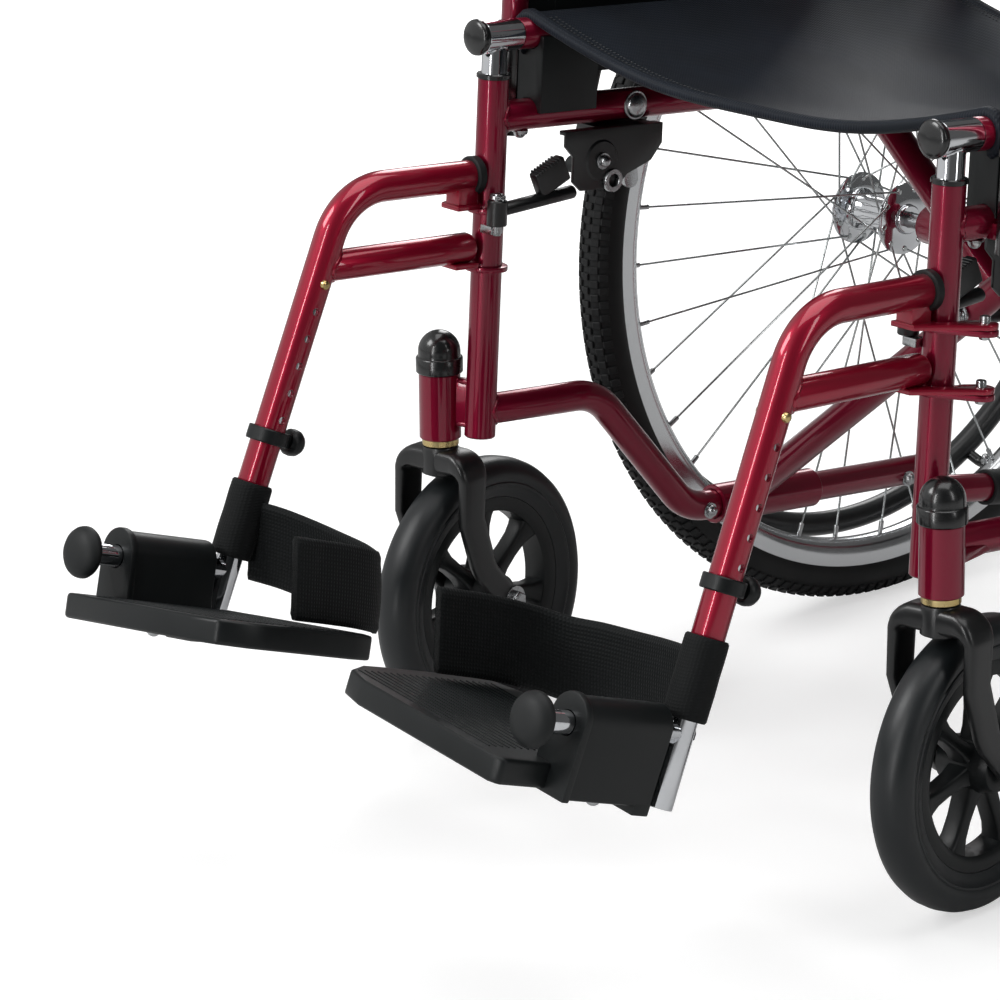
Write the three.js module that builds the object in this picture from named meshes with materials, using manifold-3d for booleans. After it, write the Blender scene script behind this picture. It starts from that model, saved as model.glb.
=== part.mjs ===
// A folding wheelchair with large spoked rear wheels and swing-away footrests.
// Millimetres. +X is the occupant's left, -Y is forward, +Z is up. The origin ends up on the
// floor, in the middle of the chair's own box. The frame leans back a little, so most parts are
// drawn square in the "chassis" group, whose zero is the floor under the front posts, and that
// group is tilted. Wheels and castors stand upright in the "ground" group.
import * as THREE from 'three';
import Module from 'manifold-3d';
import { mergeVertices } from 'three/addons/utils/BufferGeometryUtils.js';

const wasm = await Module();
wasm.setup();

// ---- driving dimensions ----
const TILT = THREE.MathUtils.degToRad(3.73); // the frame leans back
const HALF_TRACK = 225.6; // centre line to the side frame's tubes
const TUBE = 11.1; // outer radius of the frame's 22.2 mm tubing
const WALL = 1.6;
const GAP = 0.3; // left between pieces that touch
const POST_TOP = 487.6;
const POST_FOOT = 228.7;
const UPPER_RAIL = 459.3;
const LOWER_RAIL_FRONT = 248;
const LOWER_RAIL = 149;
const CANE_Y = 461.4; // the back cane, and the wheel axle on it
const AXLE_Z = 335.7;
const SEAT_RAIL = 517;
const SEAT_RAIL_START = 19.4;
const SEAT_RAIL_END = 440;
const HANDLE_Z = 945;
const BRACE_FRONT_Y = 258;
const BRACE_REAR_Y = 302;
const BOLT_RADIUS = 4;

const REAR_RADIUS = 305; // 24 inch wheel
const REAR_PLANE = 298; // centre line to the middle of the tyre
const REAR_TYRE = 17.4;
const RIM_OUTER = 275.6;
const RIM_INNER = 258;
const HANDRIM_RADIUS = 254.8;
const HANDRIM_TUBE = 9.5;
const HANDRIM_OFFSET = 34.8;
const AXLE_RADIUS = 6;

const CASTER_RADIUS = 100; // 8 inch castor
const CASTER_X = 253.5;
const CASTER_Y = 1.5;
const CASTER_TRAIL = 39;
const CASTER_SEGMENTS = 28;
const CASTER_TURN = THREE.MathUtils.degToRad(8); // both castors rest a little turned
const HOUSING_RADIUS = 15;
const HOUSING_FOOT = 226;
const HOUSING_TOP = 273;
const STEM_RADIUS = 8;

const SPLAY = THREE.MathUtils.degToRad(2.2); // the hangers point a little outwards
const ARM_Z = 419.3;
const ELBOW = 127.4; // post to the hanger's bend
const HANGER_DROP = THREE.MathUtils.degToRad(19.4); // down tube, from the vertical
const STRUT_Z = 368;
const HINGE_OUT = 27.4; // post to the hanger's hinge pins
const HINGE_BACK = 12;
const LUG_LEVELS = [392, 350]; // undersides of the two lugs welded on the post
const PLATE = 4;
const PIN = 3.5;

const FOOT_AXIS_OUT = 8.4; // footplate hinge line, from the side frame's plane
const FOOT_REACH = 340.5; // post to the bumper's middle
const FOOT_Z = 188.4;
const FOOT_PITCH = THREE.MathUtils.degToRad(13.3);
const FOOT_ROLL = THREE.MathUtils.degToRad(6.7);
const PLATE_DROP = 27.7; // hinge line to the footplate's top
const PLATE_THICK = 17;
const PLATE_WIDE = 175;
const PLATE_AHEAD = 13.3;
const PLATE_LONG = 144;
const BARREL_FROM = 32;
const BARREL_TO = 106;
const BARREL_HALF = 14.5;

const ARM_X = 250; // armrest plane
const ARM_LEGS = [38, 330];
const ARM_TOP = 740;
const ARM_TUBE = 9.5;
const SOCKET_RADIUS = 12.5;

// ---- finishes ----
const paint = { color: 0x7a0f1c, roughness: 0.25, metalness: 0.4 };
const chrome = { color: 0xd8dadc, roughness: 0.12, metalness: 1 };
const steel = { color: 0xb9bdc1, roughness: 0.3, metalness: 1 };
const rubber = { color: 0x1c1e20, roughness: 0.75, metalness: 0 };
const plastic = { color: 0x26292b, roughness: 0.45, metalness: 0 };
const blackPaint = { color: 0x1b1d1e, roughness: 0.35, metalness: 0.2 };
const nylon = { color: 0x2b3138, roughness: 0.85, metalness: 0 };
const vinyl = { color: 0x1d1f21, roughness: 0.5, metalness: 0 };

// ---- shape helpers ----
const X = new THREE.Vector3(1, 0, 0);
const Z = new THREE.Vector3(0, 0, 1);
const v3 = (x, y, z) => new THREE.Vector3(x, y, z);

// A path that visits its own points one after another, so every bend is cut where it is wanted.
class Route extends THREE.Curve {
  constructor(points) {
    super();
    this.points = points;
  }

  getPoint(t, target = v3(0, 0, 0)) {
    const place = t * (this.points.length - 1);
    const i = Math.min(Math.floor(place), this.points.length - 2);
    return target.copy(this.points[i]).lerp(this.points[i + 1], place - i);
  }

  getPointAt(t, target) {
    return this.getPoint(t, target);
  }

  getTangentAt(t, target = v3(0, 0, 0)) {
    const i = Math.round(t * (this.points.length - 1));
    const before = this.points[Math.max(i - 1, 0)];
    const after = this.points[Math.min(i + 1, this.points.length - 1)];
    const into = this.points[i].clone().sub(before).normalize();
    const out = after.clone().sub(this.points[i]).normalize();
    return target.copy(into.add(out).normalize());
  }
}

// Corner points become round bends of the given radius.
function bend(corners, radius, pieces = 5) {
  const points = [corners[0]];
  for (let i = 1; i < corners.length - 1; i += 1) {
    const back = corners[i - 1].clone().sub(corners[i]).normalize();
    const ahead = corners[i + 1].clone().sub(corners[i]).normalize();
    const half = back.angleTo(ahead) / 2;
    const reach = radius / Math.tan(half);
    const centre = back.clone().add(ahead).normalize().multiplyScalar(radius / Math.sin(half)).add(corners[i]);
    const from = corners[i].clone().addScaledVector(back, reach).sub(centre);
    const to = corners[i].clone().addScaledVector(ahead, reach).sub(centre);
    const turn = new THREE.Vector3().crossVectors(from, to).normalize();
    for (let k = 0; k <= pieces; k += 1) {
      points.push(from.clone().applyAxisAngle(turn, (from.angleTo(to) * k) / pieces).add(centre));
    }
  }
  points.push(corners[corners.length - 1]);
  return points;
}

function sweep(points, radius, sides = 12) {
  const ring = new THREE.Shape();
  for (let k = 0; k < sides; k += 1) {
    const a = (2 * Math.PI * (k + 0.5)) / sides;
    if (k === 0) ring.moveTo(radius * Math.cos(a), radius * Math.sin(a));
    else ring.lineTo(radius * Math.cos(a), radius * Math.sin(a));
  }
  const settings = { steps: points.length - 1, extrudePath: new Route(points), curveSegments: 1 };
  return new THREE.ExtrudeGeometry(ring, settings);
}

function rod(a, b, radius, sides = 12) {
  const along = b.clone().sub(a);
  const shape = new THREE.CylinderGeometry(radius, radius, along.length(), sides);
  const turn = new THREE.Quaternion().setFromUnitVectors(v3(0, 1, 0), along.clone().normalize());
  shape.applyQuaternion(turn);
  const middle = a.clone().add(b).multiplyScalar(0.5);
  return shape.translate(middle.x, middle.y, middle.z);
}

function block(from, to) {
  const size = to.clone().sub(from);
  const shape = new THREE.BoxGeometry(size.x, size.y, size.z);
  const middle = from.clone().add(to).multiplyScalar(0.5);
  return shape.translate(middle.x, middle.y, middle.z);
}

// A flat outline of [x, y] points, standing from z = low to z = high.
function slab(outline, low, high) {
  const shape = new THREE.Shape(outline.map(([x, y]) => new THREE.Vector2(x, y)));
  const solid = new THREE.ExtrudeGeometry(shape, { depth: high - low, bevelEnabled: false, curveSegments: 1 });
  return solid.translate(0, 0, low);
}

// An outline of [y, z] points, thick along X from x = low to x = high.
function sideSlab(outline, low, high) {
  return slab(outline, low, high).rotateY(Math.PI / 2).rotateX(Math.PI / 2);
}

// A profile of [radius, distance] points turned about an axis through a point.
function turned(profile, centre, axis, segments) {
  const shape = new THREE.LatheGeometry(profile.map(([r, h]) => new THREE.Vector2(r, h)), segments);
  shape.applyQuaternion(new THREE.Quaternion().setFromUnitVectors(v3(0, 1, 0), axis.clone().normalize()));
  return shape.translate(centre.x, centre.y, centre.z);
}

// A ring whose section is a round bar.
function hoop(ringRadius, barRadius, sides, segments, centre) {
  const profile = [];
  for (let k = 0; k <= sides; k += 1) {
    const a = (2 * Math.PI * (k % sides)) / sides;
    profile.push([ringRadius + barRadius * Math.cos(a), barRadius * Math.sin(a)]);
  }
  return turned(profile, centre, X, segments);
}

function volume(positions, triangles) {
  const corner = (i) => v3(positions[3 * i], positions[3 * i + 1], positions[3 * i + 2]);
  let sum = 0;
  for (let t = 0; t < triangles.length; t += 3) {
    sum += corner(triangles[t]).dot(corner(triangles[t + 1]).cross(corner(triangles[t + 2])));
  }
  return sum / 6;
}

// Merges a shape's shared corners, turns its faces outwards and makes a solid of it.
function solid(geometry) {
  const bare = geometry.clone();
  bare.deleteAttribute('normal');
  bare.deleteAttribute('uv');
  const merged = mergeVertices(bare, 1e-3);
  const vertProperties = new Float32Array(merged.attributes.position.array);
  const corners = Array.from(merged.index.array);
  const kept = [];
  for (let t = 0; t < corners.length; t += 3) {
    const [a, b, c] = corners.slice(t, t + 3);
    if (a !== b && b !== c && c !== a) kept.push(a, b, c);
  }
  if (volume(vertProperties, kept) < 0) kept.reverse();
  return new wasm.Manifold(new wasm.Mesh({ numProp: 3, vertProperties, triVerts: new Uint32Array(kept) }));
}

function union(...shapes) {
  return shapes.map((s) => (s.isBufferGeometry ? solid(s) : s)).reduce((all, one) => all.add(one));
}

function cut(body, ...shapes) {
  return shapes.reduce((left, s) => left.subtract(s.isBufferGeometry ? solid(s) : s), body);
}

function asGeometry(shape) {
  const made = shape.isBufferGeometry ? solid(shape) : shape;
  const { vertProperties, triVerts } = made.getMesh();
  const geometry = new THREE.BufferGeometry();
  geometry.setAttribute('position', new THREE.BufferAttribute(vertProperties, 3));
  geometry.setIndex(new THREE.BufferAttribute(triVerts, 1));
  geometry.computeVertexNormals();
  return geometry;
}

// ---- the scene graph ----
const chair = new THREE.Group();
const chassis = new THREE.Group();
const ground = new THREE.Group();
chassis.rotation.x = -TILT;
chair.add(chassis, ground);

function add(group, name, shape, finish) {
  const mesh = new THREE.Mesh(asGeometry(shape), new THREE.MeshStandardMaterial(finish));
  mesh.name = name;
  group.add(mesh);
  return mesh;
}

const upright = (shape) => shape.applyMatrix4(new THREE.Matrix4().makeRotationX(TILT));
const named = (piece, side) => `${piece}_${side < 0 ? 'right' : 'left'}`;
const inFrame = (side, y, z) => v3(side * HALF_TRACK, y, z);

// ---- side frame: post, rails, cane, axle, castor housing, lugs and sockets, welded together ----
function caneRoute(side) {
  const lean = Math.tan(THREE.MathUtils.degToRad(8));
  const knee = 690;
  const top = CANE_Y + (HANDLE_Z - knee) * lean;
  const corners = [
    inFrame(side, CANE_Y, 120),
    inFrame(side, CANE_Y, knee),
    inFrame(side, top, HANDLE_Z),
    inFrame(side, top + 128, HANDLE_Z + 8),
  ];
  return bend(corners, 42, 5);
}

function lowerRailRoute(side) {
  const drop = LOWER_RAIL_FRONT - LOWER_RAIL;
  const corners = [
    inFrame(side, 0, LOWER_RAIL_FRONT),
    inFrame(side, 107.7, LOWER_RAIL_FRONT),
    inFrame(side, 107.7 + drop * 0.975, LOWER_RAIL),
    inFrame(side, CANE_Y, LOWER_RAIL),
  ];
  return bend(corners, 45, 5);
}

// The plan of a lug or a hanger ear on the left side: mirrored for the right.
function mirrored(outline, side) {
  return side > 0 ? outline : outline.map(([x, y]) => [-x, y]).reverse();
}

function postLug() {
  const outline = [];
  const eye = { x: HALF_TRACK + HINGE_OUT, y: HINGE_BACK, r: 8.5 };
  const collar = { x: HALF_TRACK, y: 0, r: 14.6 };
  const lean = Math.atan2(eye.y, HINGE_OUT);
  const arc = (c, from, to, steps) => {
    for (let k = 0; k <= steps; k += 1) {
      const a = from + ((to - from) * k) / steps;
      outline.push([c.x + c.r * Math.cos(a), c.y + c.r * Math.sin(a)]);
    }
  };
  arc(eye, lean - Math.PI / 2, lean + Math.PI / 2, 5);
  arc(collar, lean + Math.PI / 2, lean + (3 * Math.PI) / 2, 7);
  return outline;
}

function casterHousing(side) {
  const x = side * CASTER_X;
  const shell = upright(rod(v3(x, CASTER_Y, HOUSING_FOOT), v3(x, CASTER_Y, HOUSING_TOP), HOUSING_RADIUS, 18));
  const reach = CASTER_X - HALF_TRACK;
  const web = new THREE.BoxGeometry(30, 7, 34);
  web.rotateZ(side * Math.atan2(-17, reach));
  web.translate(side * (HALF_TRACK + reach / 2), -8.5, 254);
  const rear = slab(mirrored([[HALF_TRACK, 12], [CASTER_X - 2, -14], [CASTER_X + 2, -10], [HALF_TRACK + 8, 52], [HALF_TRACK, 52]], side), 240, 246);
  return union(shell, web, rear);
}

function sideFrame(side) {
  const hinge = v3(side * (HALF_TRACK + HINGE_OUT), HINGE_BACK, 0);
  const socketLow = 440;
  const socketHigh = 506;
  const shapes = [
    rod(inFrame(side, 0, POST_FOOT), inFrame(side, 0, POST_TOP), TUBE, 18),
    rod(inFrame(side, 0, UPPER_RAIL), inFrame(side, CANE_Y, UPPER_RAIL), TUBE),
    sweep(lowerRailRoute(side), TUBE),
    sweep(caneRoute(side), TUBE),
    rod(v3(side * (HALF_TRACK - 20), CANE_Y, AXLE_Z), v3(side * (HALF_TRACK + 36), CANE_Y, AXLE_Z), 15),
    rod(v3(side * HALF_TRACK, CANE_Y, AXLE_Z), v3(side * (REAR_PLANE + 34), CANE_Y, AXLE_Z), AXLE_RADIUS),
    rod(inFrame(side, CANE_Y, 130), inFrame(side, CANE_Y + 84, 122), TUBE),
    casterHousing(side),
  ];
  for (const level of LUG_LEVELS) {
    shapes.push(slab(mirrored(postLug(), side), level, level + PLATE));
    shapes.push(rod(v3(hinge.x, hinge.y, level), v3(hinge.x, hinge.y, level + 13), PIN, 10));
  }
  for (const y of ARM_LEGS) {
    shapes.push(rod(v3(side * ARM_X, y, socketLow), v3(side * ARM_X, y, socketHigh), SOCKET_RADIUS));
    const inner = Math.min(side * (HALF_TRACK + 5), side * (ARM_X - 5));
    const outer = Math.max(side * (HALF_TRACK + 5), side * (ARM_X - 5));
    shapes.push(block(v3(inner, y - 8, UPPER_RAIL - 10), v3(outer, y + 8, UPPER_RAIL + 1.4)));
  }
  const pivot = releasePivot(side);
  shapes.push(rod(v3(pivot.x, pivot.y, 378), v3(pivot.x, pivot.y, 406), PIN, 10));
  shapes.push(block(v3(Math.min(pivot.x, side * HALF_TRACK), pivot.y - 4, 380), v3(Math.max(pivot.x, side * HALF_TRACK), pivot.y + 5, 386)));
  const bores = [
    rod(inFrame(side, 0, POST_FOOT + 11), inFrame(side, 0, POST_TOP + 5), TUBE - WALL, 18),
    upright(rod(v3(side * CASTER_X, CASTER_Y, 200), v3(side * CASTER_X, CASTER_Y, 266), STEM_RADIUS + 0.5)),
  ];
  for (const y of ARM_LEGS) {
    bores.push(rod(v3(side * ARM_X, y, socketLow - 5), v3(side * ARM_X, y, socketHigh + 5), ARM_TUBE + 0.5));
  }
  return cut(union(...shapes), ...bores);
}

// ---- folding cross brace ----
const bracePins = { low: LOWER_RAIL, high: SEAT_RAIL, middle: (LOWER_RAIL + SEAT_RAIL) / 2 };

// side is where the brace stands on the lower rail; its top is on the other side.
function brace(side, y, sleeveFrom, sleeveTo) {
  const sleeve = rod(inFrame(side, sleeveFrom, bracePins.low), inFrame(side, sleeveTo, bracePins.low), 14.6, 16);
  const strut = rod(inFrame(side, y, bracePins.low), inFrame(-side, y, bracePins.high), TUBE);
  const rail = rod(inFrame(side, sleeveFrom - 5, bracePins.low), inFrame(side, sleeveTo + 5, bracePins.low), TUBE + 0.45, 14);
  const seatRailRoom = rod(inFrame(-side, y - 40, bracePins.high), inFrame(-side, y + 40, bracePins.high), TUBE + GAP, 16);
  const beyond = block(
    v3(Math.min(-side * HALF_TRACK, -side * (HALF_TRACK + 30)), y - 20, bracePins.high - 4),
    v3(Math.max(-side * HALF_TRACK, -side * (HALF_TRACK + 30)), y + 20, bracePins.high + 30),
  );
  const hole = rod(v3(0, y - 20, bracePins.middle), v3(0, y + 20, bracePins.middle), BOLT_RADIUS + 0.4, 12);
  return cut(union(sleeve, strut), rail, seatRailRoom, beyond, hole);
}

function braceBolt() {
  const z = bracePins.middle;
  const at = (y) => v3(0, y, z);
  const head = 12;
  return union(
    rod(at(BRACE_FRONT_Y - TUBE - 5), at(BRACE_REAR_Y + TUBE + 5), BOLT_RADIUS, 12),
    rod(at(BRACE_FRONT_Y - TUBE - 7), at(BRACE_FRONT_Y - TUBE - GAP), 8, head),
    rod(at(BRACE_FRONT_Y + TUBE + GAP), at(BRACE_REAR_Y - TUBE - GAP), 9, head),
    rod(at(BRACE_REAR_Y + TUBE + GAP), at(BRACE_REAR_Y + TUBE + 7), 8, head),
  );
}

// ---- seat rails and their telescoping guides ----
function seatRail(side) {
  return union(
    rod(inFrame(side, SEAT_RAIL_START, SEAT_RAIL), inFrame(side, SEAT_RAIL_END, SEAT_RAIL), TUBE),
    rod(inFrame(side, -12, SEAT_RAIL), inFrame(side, SEAT_RAIL_START + 5, SEAT_RAIL), 6.5, 10),
  );
}

function seatGuide(side) {
  const body = union(
    rod(inFrame(side, -13, SEAT_RAIL), inFrame(side, SEAT_RAIL_START - GAP, SEAT_RAIL), TUBE, 16),
    rod(inFrame(side, 0, POST_FOOT + 24), inFrame(side, 0, SEAT_RAIL - 4), 9, 16),
  );
  return cut(body, rod(inFrame(side, -20, SEAT_RAIL), inFrame(side, 30, SEAT_RAIL), 7, 10));
}

function guidePlug(side) {
  const dome = [[0, 0], [12.7, 0], [12.9, 3], [11.4, 6.4], [7, 8.6], [0, 9.4]];
  return turned(dome, inFrame(side, -13 - GAP, SEAT_RAIL), v3(0, -1, 0), 18);
}

function seatCradle(side) {
  const inboard = side * (HALF_TRACK - 15);
  const outboard = side * (HALF_TRACK + 11.5); // clear of the armrest socket beside it
  const outer = block(
    v3(Math.min(inboard, outboard), 32, UPPER_RAIL + 2),
    v3(Math.max(inboard, outboard), 84, SEAT_RAIL - 1),
  );
  return cut(
    solid(outer),
    rod(inFrame(side, 20, UPPER_RAIL), inFrame(side, 100, UPPER_RAIL), TUBE + GAP, 16),
    rod(inFrame(side, 20, SEAT_RAIL), inFrame(side, 100, SEAT_RAIL), TUBE + 0.5, 16),
  );
}

// ---- fabric, as plain closed solids ----
function seatSling() {
  const half = HALF_TRACK - TUBE - 2.6;
  const steps = 10;
  const height = (x) => 495.5 + 29 * (x / half) ** 2;
  const under = [];
  const over = [];
  for (let k = 0; k <= steps; k += 1) {
    const x = -half + (2 * half * k) / steps;
    under.push([x, -(height(x) - 3)]);
    over.push([x, -(height(x) + 4)]);
  }
  // drawn in X and -Z, then stood up, so it runs along +Y
  return slab([...over, ...under.reverse()], 24, 434).rotateX(-Math.PI / 2);
}

function backSling() {
  const half = HALF_TRACK - TUBE - 1.4;
  const lean = Math.tan(THREE.MathUtils.degToRad(8));
  const low = 572;
  const knee = 690;
  const high = 893;
  const behind = (z) => CANE_Y + Math.max(0, z - knee) * lean;
  const levels = [low, knee, high];
  const front = levels.map((z) => [behind(z) - 4, z]);
  const back = levels.map((z) => [behind(z) + 6, z]);
  return sideSlab([...front, ...back.reverse()], -half, half);
}

// ---- castors, in the ground group, turned about their own swivel ----
function casterLeg(x) {
  const edgeFront = [[-11, 214], [-14, 196], [-15, 168], [-8, 138], [6, 113], [24, 93]];
  const edgeBack = [[48, 92], [54, 106], [40, 114], [22, 132], [12, 152], [9, 176], [11, 200], [9, 214]];
  return sideSlab([...edgeFront, ...edgeBack], x - 4.5, x + 4.5);
}

function casterFork() {
  const hub = v3(0, CASTER_TRAIL, CASTER_RADIUS);
  const across = (x) => v3(x, 0, 208);
  return union(
    rod(across(-33), across(33), 10),
    rod(v3(0, 0, 200), v3(0, 0, HOUSING_FOOT - 1.2), 13, 16),
    rod(v3(0, 0, 210), v3(0, 0, 262), STEM_RADIUS),
    casterLeg(29),
    casterLeg(-29),
    rod(hub.clone().addScaledVector(X, -38), hub.clone().addScaledVector(X, 38), 5, 12),
    rod(hub.clone().addScaledVector(X, 33), hub.clone().addScaledVector(X, 39), 9, 6),
    rod(hub.clone().addScaledVector(X, -39), hub.clone().addScaledVector(X, -33), 9, 6),
  );
}

function casterTyre() {
  const hub = v3(0, CASTER_TRAIL, CASTER_RADIUS);
  const profile = [[72, -11], [86, -15], [97, -11], [100, 0], [97, 11], [86, 15], [72, 11], [72, -11]];
  return turned(profile, hub, X, CASTER_SEGMENTS);
}

function casterWheel() {
  const hub = v3(0, CASTER_TRAIL, CASTER_RADIUS);
  const rimProfile = [[62, -10], [71.7, -10.6], [71.7, 10.6], [62, 10], [62, -10]];
  const parts = [turned(rimProfile, hub, X, CASTER_SEGMENTS), rod(v3(-22, hub.y, hub.z), v3(22, hub.y, hub.z), 17, 14)];
  const spokes = 7;
  for (let k = 0; k < spokes; k += 1) {
    const spoke = block(v3(-5, -7, 10), v3(5, 7, 66));
    spoke.rotateX((2 * Math.PI * k) / spokes).translate(0, hub.y, hub.z);
    parts.push(spoke);
  }
  return cut(union(...parts), rod(v3(-30, hub.y, hub.z), v3(30, hub.y, hub.z), 5.4, 12));
}

function casterGroup(side) {
  const group = new THREE.Group();
  group.position.set(side * CASTER_X, CASTER_Y, 0);
  group.rotation.z = CASTER_TURN;
  ground.add(group);
  add(group, named('caster_fork', side), casterFork(), blackPaint);
  add(group, named('caster_tyre', side), casterTyre(), rubber);
  add(group, named('caster_wheel', side), casterWheel(), plastic);
}

function casterCap(side) {
  const profile = [[0, 0], [16.8, 0], [16.8, 11], [15.6, 12.5], [15.2, 19], [12, 26], [6, 30], [0, 31]];
  return turned(profile, v3(side * CASTER_X, CASTER_Y, HOUSING_TOP + GAP), Z, 18);
}

// ---- rear wheels ----
const axleOnGround = v3(0, CANE_Y, AXLE_Z).applyAxisAngle(X, -TILT);
const rearCentre = (side) => v3(side * REAR_PLANE, axleOnGround.y, REAR_RADIUS);

function rearTyre(side) {
  const profile = [];
  const sides = 6;
  const middle = REAR_RADIUS - REAR_TYRE;
  for (let k = 0; k <= sides; k += 1) {
    const a = THREE.MathUtils.degToRad(-142 + (284 * k) / sides);
    profile.push([Math.max(middle + REAR_TYRE * Math.cos(a), RIM_OUTER + GAP), REAR_TYRE * Math.sin(a)]);
  }
  profile.push(profile[0]);
  return turned(profile, rearCentre(side), X, 44);
}

function rearWheel(side) {
  const centre = rearCentre(side);
  const rim = turned([[RIM_INNER, -7], [RIM_OUTER, -11.5], [RIM_OUTER, 11.5], [RIM_INNER, 7], [RIM_INNER, -7]], centre, X, 44);
  const at = (x, y, z) => v3(centre.x + x, centre.y + y, centre.z + z);
  const parts = [rim, rod(at(-31, 0, 0), at(31, 0, 0), 14), rod(at(-27, 0, 0), at(-23, 0, 0), 26), rod(at(23, 0, 0), at(27, 0, 0), 26)];
  const spokes = 18;
  for (let k = 0; k < spokes; k += 1) {
    const a = (2 * Math.PI * k) / spokes;
    const flange = k % 2 ? 25 : -25;
    const inner = at(flange, 18 * Math.cos(a), 18 * Math.sin(a));
    const outer = at(0, 264 * Math.cos(a), 264 * Math.sin(a));
    parts.push(rod(inner, outer, 2.2, 4));
  }
  return cut(union(...parts), rod(at(-40, 0, 0), at(40, 0, 0), AXLE_RADIUS + 0.4));
}

function handrim(side) {
  const centre = rearCentre(side);
  const ringCentre = centre.clone().addScaledVector(X, side * HANDRIM_OFFSET);
  const parts = [hoop(HANDRIM_RADIUS, HANDRIM_TUBE, 6, 40, ringCentre)];
  const tabs = 6;
  for (let k = 0; k < tabs; k += 1) {
    const a = (2 * Math.PI * (k + 0.5)) / tabs;
    const y = centre.y + 261 * Math.cos(a);
    const z = centre.z + 261 * Math.sin(a);
    parts.push(rod(v3(centre.x + side * 12, y, z), v3(ringCentre.x, y, z), 4, 6));
  }
  return union(...parts);
}

// ---- swing-away hangers and footrests ----
// A point in the hanger's own plane: forward of the post, at a height.
function inHanger(side, forward, z) {
  return v3(side * (HALF_TRACK + forward * Math.sin(SPLAY)), -forward * Math.cos(SPLAY), z);
}

const elbowZ = ARM_Z - ELBOW * Math.tan(THREE.MathUtils.degToRad(0.8));

// A point down the hanger's tube, at a distance below its elbow.
function downTube(side, distance) {
  return inHanger(side, ELBOW + distance * Math.sin(HANGER_DROP), elbowZ - distance * Math.cos(HANGER_DROP));
}

const RED_END = 250;
const INNER_TOP = 100;
const INNER_END = 331;

function hanger(side) {
  const ear = [[217, -34], [236, -34], [244, -16], [263, 2], [263, 20], [246, 20], [240.6, 8], [239.6, -8], [233, -15.5], [217, -15.5]];
  const arm = sweep(bend([inHanger(side, 15, ARM_Z), inHanger(side, ELBOW, elbowZ), downTube(side, RED_END)], 48, 6), TUBE);
  const shapes = [arm, rod(inHanger(side, 15, STRUT_Z), inHanger(side, 142, STRUT_Z - 2.6), TUBE - 0.4)];
  for (const level of LUG_LEVELS) {
    const underside = level + PLATE + 0.5;
    shapes.push(slab(mirrored(ear, side), underside, underside + PLATE));
  }
  const webX = [Math.min(side * 219, side * 232), Math.max(side * 219, side * 232)];
  shapes.push(block(v3(webX[0], -33, LUG_LEVELS[0] + PLATE + 1), v3(webX[1], -17, ARM_Z - 4)));
  const hinge = v3(side * (HALF_TRACK + HINGE_OUT), HINGE_BACK, 0);
  return cut(
    union(...shapes),
    rod(downTube(side, INNER_TOP - 8), downTube(side, RED_END + 20), TUBE - WALL, 16),
    rod(v3(hinge.x, hinge.y, 340), v3(hinge.x, hinge.y, 420), PIN + 0.6, 10),
  );
}

function hangerCollar(side) {
  const ring = rod(downTube(side, 172), downTube(side, 182), TUBE + 3.4, 16);
  const middle = downTube(side, 177);
  const knobAt = (out) => middle.clone().add(v3(0, out, out * 0.05));
  const knob = rod(knobAt(11), knobAt(19), 4, 10);
  const head = rod(knobAt(17), knobAt(27), 8.5, 14);
  return cut(union(ring, knob, head), rod(downTube(side, 160), downTube(side, 195), TUBE + GAP, 16));
}

// The footplate's hinge line and the plate's own directions.
function footAxes(side) {
  const forward = v3(0, -Math.cos(FOOT_PITCH), Math.sin(FOOT_PITCH));
  const upwards = v3(0, Math.sin(FOOT_PITCH), Math.cos(FOOT_PITCH));
  const bumper = v3(side * (HALF_TRACK + FOOT_AXIS_OUT), -FOOT_REACH, FOOT_Z);
  return { forward, upwards, bumper, behind: (d) => bumper.clone().addScaledVector(forward, -d) };
}

const HINGE_TUBE_BACK = 125;

function footrestTube(side) {
  const { behind } = footAxes(side);
  return union(
    rod(downTube(side, INNER_TOP), downTube(side, INNER_END), TUBE - WALL - 0.4, 16),
    rod(behind(HINGE_TUBE_BACK), behind(7), 8, 14),
  );
}

function footBumper(side) {
  const { behind, forward } = footAxes(side);
  const dome = [[0, 0], [14, 0], [17.6, 3.5], [17.9, 7], [15, 11.5], [8, 14.4], [0, 15.2]];
  return turned(dome, behind(7 - GAP), forward, 20);
}

function footplate(side) {
  const { forward, upwards, bumper } = footAxes(side);
  // plate frame: x inboard along the plate, y rearwards, z up from the hinge line
  const far = PLATE_WIDE;
  const rear = PLATE_LONG - PLATE_AHEAD;
  const front = -PLATE_AHEAD;
  const outline = [
    [2, front + 3], [10, front], [far - 26, front], [far - 8, front + 8], [far, front + 24],
    [far, rear - 22], [far - 9, rear - 6], [far - 26, rear], [34, rear], [24, rear - 6],
    [BARREL_HALF + 4, BARREL_TO], [2, BARREL_TO],
  ];
  const plate = slab(outline, -PLATE_DROP - PLATE_THICK, -PLATE_DROP);
  const crown = [];
  for (let k = 0; k <= 6; k += 1) {
    const a = (Math.PI * k) / 6;
    crown.push([BARREL_HALF * Math.cos(a), 3.2 + BARREL_HALF * Math.sin(a)]);
  }
  const section = [[-BARREL_HALF, -PLATE_DROP - PLATE_THICK], [BARREL_HALF, -PLATE_DROP - PLATE_THICK], ...crown];
  const barrel = slab(section, -BARREL_TO, -BARREL_FROM).rotateX(Math.PI / 2);
  const bore = rod(v3(0, BARREL_FROM - 10, 0), v3(0, BARREL_TO + 10, 0), 8.6, 14);
  const body = cut(union(plate, barrel), bore);
  const inboard = v3(-side, 0, 0);
  const roll = new THREE.Matrix4().makeRotationY(-FOOT_ROLL);
  const flat = asGeometry(body).applyMatrix4(roll);
  const frame = new THREE.Matrix4().makeBasis(inboard, forward.clone().negate(), upwards);
  return flat.applyMatrix4(frame.setPosition(bumper));
}

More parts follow.
